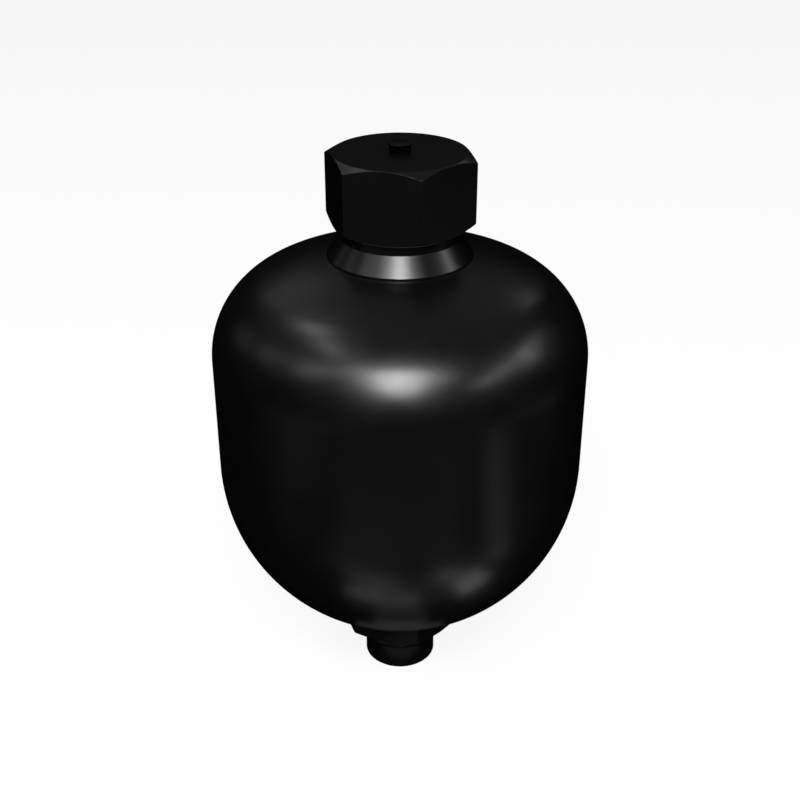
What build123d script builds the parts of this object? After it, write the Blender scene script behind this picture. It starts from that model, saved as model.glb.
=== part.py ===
from build123d import *
from math import radians, sqrt, tan
import os

# Welded diaphragm accumulator, about one litre. Millimetres, +Z up along the vessel's axis.
# The origin is the centre of the fluid port's lower end face.

# Vessel
shell_radius = 60.0
shell_wall = 5.0
straight_wall = 38.1
knuckle_radius = 28.4
crown_radius = 110.0
lower_skirt = 19.1

# Hexagons, both turned the same way about the axis
hexagon_turn = 45.6
chamfer_angle = 30.0

# Fluid port
spigot_radius = 12.3
spigot_length = 11.5
spigot_chamfer = 0.6
spigot_groove_depth = 0.8
spigot_groove_width = 2.5
collar_step = 2.2
collar_height = 5.9
port_across_flats = 39.1
port_corner_land = 0.15
port_standoff = 6.4
port_seat_width = 3.55
port_thread_radius = 7.475
port_thread_length = 12.0
port_thread_chamfer = 0.8
port_passage_radius = 5.5
port_land_chamfer = 0.5

# Gas boss
foot_inset = 0.97
foot_land = 0.8
boss_seat_width = 3.7
boss_projection = 1.0
boss_chamfer = 1.0
cone_height = 5.6
neck_height = 2.5
thread_radius = 16.5
shoulder_width = 2.15
thread_length = 6.0
thread_chamfer = 0.8
thread_relief_depth = 0.9
thread_relief_height = 1.4
neck_wall = 5.5
gas_passage_radius = 5.0

# Diaphragm clamp
rebate_depth = 1.5
rebate_below_weld = 10.9
rebate_above_weld = 5.1
backing_thickness = 1.3
clamp_flange_height = 4.0
clamp_hoop_thickness = 3.0
clamp_hook_height = 4.0
clamp_hook_depth = 1.2
bead_width = 4.7
bead_fillet = 1.0

# Diaphragm and its button
diaphragm_thickness = 2.5
diaphragm_clearance = 0.3
stud_hole_clearance = 0.3
button_clearance = 0.5
button_thickness = 3.5
button_fillet = 1.0
button_stud_radius = 3.0
button_washer_radius = 9.0
button_washer_thickness = 1.5
button_nut_across_flats = 10.0
button_nut_height = 5.0
button_stud_end = 1.0

# Gas valve
valve_shank_length = 12.0
valve_bore_clearance = 0.5
valve_flange_height = 4.0
valve_flange_clearance = 0.95
valve_stem_radius = 8.0
valve_stem_length = 7.0
valve_stem_chamfer = 0.8
valve_seal_width = 2.0
valve_seal_height = 1.6
valve_passage_radius = 2.0

# Valve core
core_radius = 3.4
core_recess = 1.7
core_length = 8.5
core_floor = 1.5
core_bore_radius = 2.0
core_seat_radius = 1.3
core_groove_depth = 0.8
core_groove_height = 1.2
core_groove_rise = 2.5
pin_radius = 0.9
pin_recess = 0.8
pin_travel = 1.5
pin_collar_radius = 1.8
pin_collar_height = 0.8
pin_collar_drop = 1.1
poppet_radius = 2.5
poppet_thickness = 2.0
poppet_seal_thickness = 1.2
poppet_seal_inset = 0.2
spring_wire_radius = 0.2
spring_pin_gap = 0.35
spring_turns = 5

# Screw cap
cap_across_flats = 41.0
cap_face_inset = 0.15
cap_crown = 3.95
cap_thread_clearance = 0.05
cap_mouth_chamfer = 0.6
cap_flange_headroom = 0.6
cap_stem_clearance = 3.5
washer_thickness = 1.0
washer_bore_clearance = 0.3

# Stud and seal pad of the cap
stud_shank_radius = 2.5
stud_running_clearance = 0.05
stud_shoulder_radius = 3.2
stud_shoulder_height = 2.0
stud_head_radius = 3.7
stud_head_height = 0.6
stud_head_fillet = 0.2
holder_clearance = 1.5
holder_thickness = 1.1
holder_rim_thickness = 0.6
holder_rim_depth = 0.8
holder_headroom = 0.2
pad_thickness = 1.2
pad_clearance = 0.2

# Heights and radii of the fluid end that follow from these
inner_radius = shell_radius - shell_wall
port_hexagon_z = spigot_length + collar_height
bottom_centre_z = port_hexagon_z + port_standoff + shell_radius
knuckle_z = bottom_centre_z + straight_wall
weld_z = bottom_centre_z + lower_skirt
collar_radius = spigot_radius + collar_step
spigot_groove_radius = spigot_radius - spigot_groove_depth
spigot_groove_z = spigot_length - spigot_groove_width
port_neck_radius = port_across_flats / 2 - port_seat_width
port_land_z = bottom_centre_z - sqrt(inner_radius**2 - port_neck_radius**2)

# The crown is a sphere that meets the knuckle without a kink
knuckle_centre_radius = shell_radius - knuckle_radius
crown_drop = sqrt((crown_radius - knuckle_radius) ** 2 - knuckle_centre_radius**2)
crown_centre_z = knuckle_z - crown_drop
crown_turn = Vector(knuckle_centre_radius, crown_drop).get_angle(Vector(1, 0))


def crown_height(radius, depth=0.0):
    """Height of the crown's surface at a radius, on the skin or at a depth under it."""
    return crown_centre_z + sqrt((crown_radius - depth) ** 2 - radius**2)


def bottom_height(radius, sphere_radius):
    """Height of a bowl of the given radius, centred in the hemispherical bottom."""
    return bottom_centre_z - sqrt(sphere_radius**2 - radius**2)


# Heights and radii of the gas end, whose foot stands just inside the cap's corners
cap_corner_radius = cap_across_flats / sqrt(3)
foot_radius = cap_corner_radius - foot_inset
neck_radius = thread_radius + shoulder_width
boss_spigot_radius = foot_radius - boss_seat_width
boss_bottom_z = crown_height(boss_spigot_radius, shell_wall) - boss_projection
foot_z = crown_height(foot_radius)
neck_z = foot_z + foot_land + cone_height
shoulder_z = neck_z + neck_height
cap_z = shoulder_z + washer_thickness
neck_top_z = shoulder_z + thread_length
valve_shank_radius = thread_radius - neck_wall
valve_shank_z = neck_top_z - valve_shank_length
valve_flange_z = neck_top_z + valve_flange_height
stem_top_z = valve_flange_z + valve_stem_length
cap_thread_bore = thread_radius + cap_thread_clearance
cap_stem_bore = valve_stem_radius + cap_stem_clearance
valve_flange_corner = cap_thread_bore - valve_flange_clearance
pad_top_z = stem_top_z + pad_thickness
holder_top_z = pad_top_z + holder_thickness
cap_ceiling_z = holder_top_z + holder_headroom
cap_top_z = cap_ceiling_z + cap_crown
holder_radius = cap_stem_bore - holder_clearance

# Heights inside the valve core
core_top_z = stem_top_z - core_recess
core_bottom_z = core_top_z - core_length
spring_seat_z = core_bottom_z + core_floor
pin_top_z = stem_top_z - pin_recess
pin_collar_z = core_top_z - pin_collar_drop - pin_collar_height
poppet_top_z = core_bottom_z - poppet_seal_thickness
poppet_bottom_z = poppet_top_z - poppet_thickness
poppet_chamber_z = poppet_bottom_z - pin_travel - valve_bore_clearance

# Heights and radii of the clamp
rebate_radius = inner_radius + rebate_depth
clamp_bottom_z = weld_z - rebate_below_weld
clamp_top_z = weld_z + rebate_above_weld
bead_top_z = clamp_top_z - clamp_flange_height
bead_bottom_z = clamp_bottom_z + clamp_hook_height
bead_outer_radius = rebate_radius - backing_thickness
bead_inner_radius = bead_outer_radius - bead_width
clamp_inner_radius = bead_inner_radius - clamp_hoop_thickness

# Heights and radii of the diaphragm's bowl and button
bowl_radius = inner_radius - diaphragm_clearance
bowl_inner_radius = bowl_radius - diaphragm_thickness
button_top_z = port_land_z + button_thickness
bowl_floor_z = button_top_z + diaphragm_thickness
button_radius = port_neck_radius - button_clearance
washer_top_z = bowl_floor_z + button_washer_thickness
nut_top_z = washer_top_z + button_nut_height

os.makedirs("parts", exist_ok=True)


def finish(piece, name):
    """Labels a finished piece and writes it to its own file."""
    piece.label = name
    export_step(piece, f"parts/{name}.step")


def turned(points, mode=Mode.ADD):
    """Turns a closed outline of (radius, height) points about the vessel's axis."""
    with BuildSketch(Plane.XZ) as section:
        with BuildLine():
            Polyline(*points, close=True)
        make_face()
    revolve(section.sketch, axis=Axis.Z, mode=mode)


def turned_ring(inner, outer, bottom, top, mode=Mode.ADD):
    """Turns a plain ring of rectangular section."""
    turned([(inner, bottom), (outer, bottom), (outer, top), (inner, top)], mode)


def hexagon(across_flats, bottom, top):
    """Extrudes a hexagon bar that stands the way both wrench hexagons do."""
    with BuildSketch(Plane.XY.offset(bottom)) as section:
        RegularPolygon(across_flats / 2, 6, major_radius=False, rotation=hexagon_turn)
    extrude(section.sketch, amount=top - bottom)


def corner_fall(across_flats, face_radius):
    """Height over which a turned chamfer runs out at the corners of a hexagon."""
    corner_radius = across_flats / sqrt(3)
    return (corner_radius - face_radius) * tan(radians(chamfer_angle))


# Lower shell: a hemispherical cup with a rebate for the clamp at its rim
with BuildPart() as lower_shell:
    with BuildSketch(Plane.XZ):
        with BuildLine():
            outer_start = (port_neck_radius, bottom_height(port_neck_radius, shell_radius))
            inner_start = (port_neck_radius, port_land_z)
            outer_bowl = RadiusArc(outer_start, (shell_radius, bottom_centre_z), -shell_radius)
            Polyline(
                outer_bowl @ 1,
                (shell_radius, weld_z),
                (rebate_radius, weld_z),
                (rebate_radius, clamp_bottom_z),
                (inner_radius, clamp_bottom_z),
                (inner_radius, bottom_centre_z),
            )
            inner_bowl = RadiusArc((inner_radius, bottom_centre_z), inner_start, inner_radius)
            Line(inner_bowl @ 1, outer_bowl @ 0)
        make_face()
    revolve(axis=Axis.Z)
finish(lower_shell.part, "lower_shell")

# Upper shell: straight wall, knuckle and crown, with a bored hole for the gas boss
with BuildPart() as upper_shell:
    with BuildSketch(Plane.XZ):
        with BuildLine():
            outer_edge = boss_spigot_radius, crown_height(boss_spigot_radius)
            inner_edge = boss_spigot_radius, crown_height(boss_spigot_radius, shell_wall)
            knuckle_centre = (knuckle_centre_radius, knuckle_z)
            outer_knuckle = CenterArc(knuckle_centre, knuckle_radius, 0, crown_turn)
            inner_knuckle = CenterArc(knuckle_centre, knuckle_radius - shell_wall, 0, crown_turn)
            RadiusArc(outer_knuckle @ 1, outer_edge, -crown_radius)
            Line(outer_edge, inner_edge)
            RadiusArc(inner_edge, inner_knuckle @ 1, crown_radius - shell_wall)
            Polyline(
                inner_knuckle @ 0,
                (inner_radius, clamp_top_z),
                (rebate_radius, clamp_top_z),
                (rebate_radius, weld_z),
                (shell_radius, weld_z),
                outer_knuckle @ 0,
            )
        make_face()
    revolve(axis=Axis.Z)
finish(upper_shell.part, "upper_shell")

# Fluid port: hexagon seated on the bowl, neck through the wall, collar, relieved spigot and bore
with BuildPart() as fluid_port:
    port_seat_top_z = bottom_height(port_across_flats / sqrt(3), shell_radius)
    port_face_radius = port_across_flats / 2 + port_corner_land
    port_fall = corner_fall(port_across_flats, port_face_radius)
    port_corner_radius = port_face_radius + port_fall / tan(radians(chamfer_angle))
    hexagon(port_across_flats, port_hexagon_z, port_seat_top_z)
    with BuildSketch(Plane.XZ):
        with BuildLine():
            Polyline(
                (0, port_seat_top_z),
                (0, port_hexagon_z),
                (port_face_radius, port_hexagon_z),
                (port_corner_radius, port_hexagon_z + port_fall),
                (port_corner_radius, port_seat_top_z),
                close=True,
            )
        make_face()
    revolve(axis=Axis.Z, mode=Mode.INTERSECT)
    with Locations((0, 0, bottom_centre_z)):
        Sphere(shell_radius, mode=Mode.SUBTRACT)
    turned_ring(0, port_neck_radius, port_hexagon_z, port_land_z)
    turned(
        [
            (0, 0),
            (spigot_radius - spigot_chamfer, 0),
            (spigot_radius, spigot_chamfer),
            (spigot_radius, spigot_groove_z),
            (spigot_groove_radius, spigot_groove_z),
            (spigot_groove_radius, spigot_length),
            (collar_radius, spigot_length),
            (collar_radius, port_hexagon_z),
            (0, port_hexagon_z),
        ]
    )
    port_thread_end_z = port_thread_chamfer + port_thread_length
    port_drill_z = port_thread_end_z + port_thread_radius - port_passage_radius
    turned(
        [
            (0, 0),
            (port_thread_radius + port_thread_chamfer, 0),
            (port_thread_radius, port_thread_chamfer),
            (port_thread_radius, port_thread_end_z),
            (port_passage_radius, port_drill_z),
            (port_passage_radius, port_land_z - port_land_chamfer),
            (port_passage_radius + port_land_chamfer, port_land_z),
            (0, port_land_z),
        ],
        mode=Mode.SUBTRACT,
    )
finish(fluid_port.part, "fluid_port")

# Gas boss: seated on the crown, with cone, neck and shoulder, the cap's thread and the valve's bore
with BuildPart() as gas_boss:
    with BuildSketch(Plane.XZ):
        with BuildLine():
            boss_seat = RadiusArc(
                (boss_spigot_radius, crown_height(boss_spigot_radius)), (foot_radius, foot_z), crown_radius
            )
            relief_top_z = shoulder_z + thread_relief_height
            relief_radius = thread_radius - thread_relief_depth
            seal_groove_radius = valve_shank_radius + valve_seal_width
            boss_bore_z = valve_shank_z - valve_bore_clearance
            Polyline(
                boss_seat @ 1,
                (foot_radius, foot_z + foot_land),
                (neck_radius, neck_z),
                (neck_radius, shoulder_z),
                (relief_radius, shoulder_z),
                (relief_radius, relief_top_z - thread_relief_depth),
                (thread_radius, relief_top_z),
                (thread_radius, neck_top_z - thread_chamfer),
                (thread_radius - thread_chamfer, neck_top_z),
                (seal_groove_radius, neck_top_z),
                (seal_groove_radius, neck_top_z - valve_seal_height),
                (valve_shank_radius, neck_top_z - valve_seal_height),
                (valve_shank_radius, boss_bore_z),
                (gas_passage_radius, boss_bore_z),
                (gas_passage_radius, boss_bottom_z),
                (boss_spigot_radius - boss_chamfer, boss_bottom_z),
                (boss_spigot_radius, boss_bottom_z + boss_chamfer),
                boss_seat @ 0,
            )
        make_face()
    revolve(axis=Axis.Z)
finish(gas_boss.part, "gas_boss")

# Backing ring: shields the rubber bead from the heat of the weld
with BuildPart() as backing_ring:
    turned_ring(bead_outer_radius, rebate_radius, clamp_bottom_z, bead_top_z)
finish(backing_ring.part, "backing_ring")

# Clamp ring: the hoop presses the bead outwards and its hook holds it from below
with BuildPart() as clamp_ring:
    hook_radius = bead_inner_radius + clamp_hook_depth
    turned(
        [
            (clamp_inner_radius, clamp_bottom_z),
            (bead_inner_radius, clamp_bottom_z),
            (hook_radius, clamp_bottom_z + clamp_hook_depth),
            (hook_radius, bead_bottom_z),
            (bead_inner_radius, bead_bottom_z),
            (bead_inner_radius, bead_top_z),
            (rebate_radius, bead_top_z),
            (rebate_radius, clamp_top_z),
            (clamp_inner_radius, clamp_top_z),
        ]
    )
finish(clamp_ring.part, "clamp_ring")

# Diaphragm: rubber bowl that hangs from its bead and lies on the button
with BuildPart() as diaphragm:
    stud_hole_radius = button_stud_radius + stud_hole_clearance
    outer_floor_radius = sqrt(bowl_radius**2 - (bottom_centre_z - button_top_z) ** 2)
    inner_floor_radius = sqrt(bowl_inner_radius**2 - (bottom_centre_z - bowl_floor_z) ** 2)
    with BuildSketch(Plane.XZ):
        with BuildLine():
            Line((stud_hole_radius, button_top_z), (outer_floor_radius, button_top_z))
            outer_wall = RadiusArc(
                (outer_floor_radius, button_top_z), (bowl_radius, bottom_centre_z), -bowl_radius
            )
            Polyline(
                outer_wall @ 1,
                (bowl_radius, bead_bottom_z),
                (bead_outer_radius, bead_bottom_z),
                (bead_outer_radius, bead_top_z),
                (bead_inner_radius, bead_top_z),
                (bead_inner_radius, bead_bottom_z),
                (bowl_inner_radius, bead_bottom_z),
                (bowl_inner_radius, bottom_centre_z),
            )
            inner_wall = RadiusArc(
                (bowl_inner_radius, bottom_centre_z), (inner_floor_radius, bowl_floor_z), bowl_inner_radius
            )
            Polyline(
                inner_wall @ 1,
                (stud_hole_radius, bowl_floor_z),
                (stud_hole_radius, button_top_z),
            )
        make_face()
    revolve(axis=Axis.Z)
    bead_edges = diaphragm.edges().filter_by(GeomType.CIRCLE).group_by(Axis.Z)[-1]
    fillet(bead_edges, radius=min(bead_fillet, bead_width / 3))
finish(diaphragm.part, "diaphragm")

# Button: plate and stud under the rubber, washer and nut above it
with BuildPart() as button_plate:
    turned_ring(0, button_radius, port_land_z, button_top_z)
    plate_rim = button_plate.edges().filter_by(GeomType.CIRCLE).group_by(Axis.Z)[-1]
    fillet(plate_rim, radius=min(button_fillet, button_thickness / 3))
    stud_top_z = nut_top_z + button_stud_end
    turned_ring(0, button_stud_radius, button_top_z, stud_top_z)
    stud_rim = button_plate.edges().filter_by(GeomType.CIRCLE).group_by(Axis.Z)[-1]
    chamfer(stud_rim, length=min(button_stud_end, button_stud_radius) / 2)
finish(button_plate.part, "button_plate")

with BuildPart() as button_washer:
    turned_ring(button_stud_radius, button_washer_radius, bowl_floor_z, washer_top_z)
finish(button_washer.part, "button_washer")

with BuildPart() as button_nut:
    hexagon(button_nut_across_flats, washer_top_z, nut_top_z)
    turned_ring(0, button_stud_radius, washer_top_z, nut_top_z, Mode.SUBTRACT)
finish(button_nut.part, "button_nut")

# Valve body: shank in the boss, hexagon flange and the stem for the charging unit
with BuildPart() as valve_body:
    valve_across_flats = valve_flange_corner * sqrt(3)
    valve_face_radius = valve_across_flats / 2
    valve_fall = corner_fall(valve_across_flats, valve_face_radius)
    hexagon(valve_across_flats, neck_top_z, valve_flange_z)
    with BuildSketch(Plane.XZ):
        with BuildLine():
            Polyline(
                (0, neck_top_z),
                (valve_flange_corner, neck_top_z),
                (valve_flange_corner, valve_flange_z - valve_fall),
                (valve_face_radius, valve_flange_z),
                (0, valve_flange_z),
                close=True,
            )
        make_face()
    revolve(axis=Axis.Z, mode=Mode.INTERSECT)
    turned_ring(0, valve_shank_radius, valve_shank_z, neck_top_z)
    turned(
        [
            (0, neck_top_z),
            (valve_stem_radius, neck_top_z),
            (valve_stem_radius, stem_top_z - valve_stem_chamfer),
            (valve_stem_radius - valve_stem_chamfer, stem_top_z),
            (0, stem_top_z),
        ]
    )
    turned_ring(0, core_radius, poppet_chamber_z, stem_top_z, Mode.SUBTRACT)
    turned_ring(0, valve_passage_radius, valve_shank_z, poppet_chamber_z, Mode.SUBTRACT)
finish(valve_body.part, "valve_body")

with BuildPart() as valve_body_seal:
    seal_outer_radius = valve_shank_radius + valve_seal_width
    turned_ring(valve_shank_radius, seal_outer_radius, neck_top_z - valve_seal_height, neck_top_z)
finish(valve_body_seal.part, "valve_body_seal")

# Valve core: sleeve with a floor for the spring, and a groove for its ring seal
with BuildPart() as core_body:
    core_groove_z = core_bottom_z + core_groove_rise
    core_groove_top_z = core_groove_z + core_groove_height
    core_groove_radius = core_radius - core_groove_depth
    turned(
        [
            (core_seat_radius, core_bottom_z),
            (core_radius, core_bottom_z),
            (core_radius, core_groove_z),
            (core_groove_radius, core_groove_z),
            (core_groove_radius, core_groove_top_z),
            (core_radius, core_groove_top_z),
            (core_radius, core_top_z),
            (core_bore_radius, core_top_z),
            (core_bore_radius, spring_seat_z),
            (core_seat_radius, spring_seat_z),
        ]
    )
finish(core_body.part, "core_body")

with BuildPart() as core_seal:
    turned_ring(core_groove_radius, core_radius, core_groove_z, core_groove_top_z)
finish(core_seal.part, "core_seal")

# Valve pin with its spring collar and its poppet, which carries a rubber seat
with BuildPart() as valve_pin:
    turned(
        [
            (0, poppet_bottom_z),
            (poppet_radius, poppet_bottom_z),
            (poppet_radius, poppet_top_z),
            (pin_radius, poppet_top_z),
            (pin_radius, pin_collar_z),
            (pin_collar_radius, pin_collar_z),
            (pin_collar_radius, pin_collar_z + pin_collar_height),
            (pin_radius, pin_collar_z + pin_collar_height),
            (pin_radius, pin_top_z),
            (0, pin_top_z),
        ]
    )
finish(valve_pin.part, "valve_pin")

with BuildPart() as poppet_seal:
    turned_ring(pin_radius, poppet_radius - poppet_seal_inset, poppet_top_z, core_bottom_z)
finish(poppet_seal.part, "poppet_seal")

# Valve spring: coils between the core's floor and the pin's collar
with BuildPart() as valve_spring:
    spring_radius = pin_radius + spring_pin_gap + spring_wire_radius
    spring_height = pin_collar_z - spring_seat_z - 2 * spring_wire_radius
    with BuildLine():
        coil = Helix(
            pitch=spring_height / spring_turns,
            height=spring_height,
            radius=spring_radius,
            center=(0, 0, spring_seat_z + spring_wire_radius),
        )
    with BuildSketch(Plane(origin=coil @ 0, z_dir=coil % 0)):
        Circle(spring_wire_radius)
    sweep(path=coil, is_frenet=True)
finish(valve_spring.part, "valve_spring")

# Screw cap: hexagon with turned chamfers at both ends, bored for the thread and for the valve's stem
with BuildPart() as valve_cap:
    cap_face_radius = cap_across_flats / 2 - cap_face_inset
    cap_fall = corner_fall(cap_across_flats, cap_face_radius)
    hexagon(cap_across_flats, cap_z, cap_top_z)
    with BuildSketch(Plane.XZ):
        with BuildLine():
            Polyline(
                (0, cap_z),
                (cap_face_radius, cap_z),
                (cap_corner_radius, cap_z + cap_fall),
                (cap_corner_radius, cap_top_z - cap_fall),
                (cap_face_radius, cap_top_z),
                (0, cap_top_z),
                close=True,
            )
        make_face()
    revolve(axis=Axis.Z, mode=Mode.INTERSECT)
    cap_step_z = valve_flange_z + cap_flange_headroom
    turned(
        [
            (0, cap_z),
            (cap_thread_bore + cap_mouth_chamfer, cap_z),
            (cap_thread_bore, cap_z + cap_mouth_chamfer),
            (cap_thread_bore, cap_step_z),
            (cap_stem_bore, cap_step_z),
            (cap_stem_bore, cap_ceiling_z),
            (0, cap_ceiling_z),
        ],
        mode=Mode.SUBTRACT,
    )
    stud_bore = stud_shank_radius + stud_running_clearance
    turned_ring(0, stud_bore, cap_ceiling_z, cap_top_z, Mode.SUBTRACT)
finish(valve_cap.part, "valve_cap")

with BuildPart() as cap_washer:
    turned_ring(thread_radius + washer_bore_clearance, neck_radius, shoulder_z, cap_z)
finish(cap_washer.part, "cap_washer")

# Stud: its head stands on the cap's crown and its shank carries the pad holder inside the cap
with BuildPart() as cap_stud:
    shoulder_bottom_z = cap_top_z + stud_running_clearance
    head_bottom_z = shoulder_bottom_z + stud_shoulder_height
    head_top_z = head_bottom_z + stud_head_height
    turned(
        [
            (0, pad_top_z),
            (stud_shank_radius, pad_top_z),
            (stud_shank_radius, shoulder_bottom_z),
            (stud_shoulder_radius, shoulder_bottom_z),
            (stud_shoulder_radius, head_bottom_z),
            (stud_head_radius, head_bottom_z),
            (stud_head_radius, head_top_z),
            (0, head_top_z),
        ]
    )
    head_rim = cap_stud.edges().filter_by(GeomType.CIRCLE).group_by(Axis.Z)[-1]
    fillet(head_rim, radius=min(stud_head_fillet, stud_head_height / 2))
finish(cap_stud.part, "cap_stud")

with BuildPart() as cap_pad_holder:
    pad_radius = holder_radius - holder_rim_thickness
    turned(
        [
            (stud_shank_radius, pad_top_z),
            (pad_radius, pad_top_z),
            (pad_radius, pad_top_z - holder_rim_depth),
            (holder_radius, pad_top_z - holder_rim_depth),
            (holder_radius, holder_top_z),
            (stud_shank_radius, holder_top_z),
        ]
    )
finish(cap_pad_holder.part, "cap_pad_holder")

with BuildPart() as cap_seal_pad:
    turned_ring(0, pad_radius - pad_clearance, stem_top_z, pad_top_z)
finish(cap_seal_pad.part, "cap_seal_pad")
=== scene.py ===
import logging
import math
from abc import ABC, abstractmethod
from dataclasses import dataclass, field
from enum import Enum, IntEnum
from typing import Callable, Iterable, Sequence

import bmesh
import bpy
from mathutils import Matrix, Vector


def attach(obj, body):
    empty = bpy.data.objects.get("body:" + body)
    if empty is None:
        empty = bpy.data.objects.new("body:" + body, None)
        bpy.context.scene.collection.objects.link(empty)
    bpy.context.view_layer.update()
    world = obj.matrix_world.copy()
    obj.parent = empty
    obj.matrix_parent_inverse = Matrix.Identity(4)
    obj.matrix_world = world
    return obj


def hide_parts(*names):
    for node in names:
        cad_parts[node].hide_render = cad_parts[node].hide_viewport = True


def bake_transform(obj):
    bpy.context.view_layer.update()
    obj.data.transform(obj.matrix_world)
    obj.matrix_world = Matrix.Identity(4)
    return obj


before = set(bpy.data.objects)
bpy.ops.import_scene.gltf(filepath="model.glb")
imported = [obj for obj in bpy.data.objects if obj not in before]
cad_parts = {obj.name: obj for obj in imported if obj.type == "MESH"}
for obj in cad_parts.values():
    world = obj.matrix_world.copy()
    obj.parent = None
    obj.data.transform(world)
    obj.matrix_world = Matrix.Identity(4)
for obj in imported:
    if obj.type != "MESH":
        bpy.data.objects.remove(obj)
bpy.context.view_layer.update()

LOG = logging.getLogger("accumulator")

Piece = bpy.types.Object
Material = bpy.types.Material
Pair = tuple[float, float]
Triple = tuple[float, float, float]

# Metres in a millimetre.
MM = 0.001
# Tolerances in millimetres: for points that are one, points on one rim, a thread's seam, and faces beside a rim.
SAME = 0.0002
NEAR = 0.002
SEAM = 0.006
HAIR = 0.01
# Width of the ring between a thread's end and the turned section, and the rounding of a broken edge, in millimetres.
RIM_GAP = 0.05
BROKEN_EDGE = 0.3
# Degrees within which an upright edge stands on a hexagon's corner.
ON_CORNER = 0.01
# Angle in degrees from which an edge is drawn sharp.
SHARP = 27.0
# Metres: height of the object's middle, distance of the lamps that stand round it, height of the patches on the floor.
MIDDLE = 0.1
LAMP_DISTANCE = 1.2
PATCH_HEIGHT = 0.001
# Power of a lamp for each square metre of its face and each unit of its brightness.
LAMP_POWER = 4.0
# Noise values that give the lower and the upper end of a range.
NOISE_LOW, NOISE_HIGH = 0.3, 0.7


class Body(Enum):
    """The bodies that the pieces ride on."""

    VESSEL = "vessel"
    CAP = "cap"
    CAP_PIVOT = "cap_pivot"
    CAP_PAD = "cap_pad"
    BUTTON = "button"
    PIN = "pin"


class Slot(Enum):
    """The record's material slots."""

    VESSEL_PAINT = "vessel_paint"
    CAP_PAINT = "cap_paint"
    MACHINED_STEEL = "machined_steel"
    VALVE_BRASS = "valve_brass"
    SPRING_WIRE = "spring_wire"
    RUBBER = "rubber"


class ThreadSide(Enum):
    """Whether a thread is cut on a shank or in a bore."""

    OUTSIDE = 1
    INSIDE = -1


class Facets(IntEnum):
    """Steps in one turn of a workpiece, by its size."""

    SHELL = 240
    FORGING = 192
    RING = 144
    DISC = 96
    SLEEVE = 72
    PIN = 48
    WIRE = 36


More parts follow.
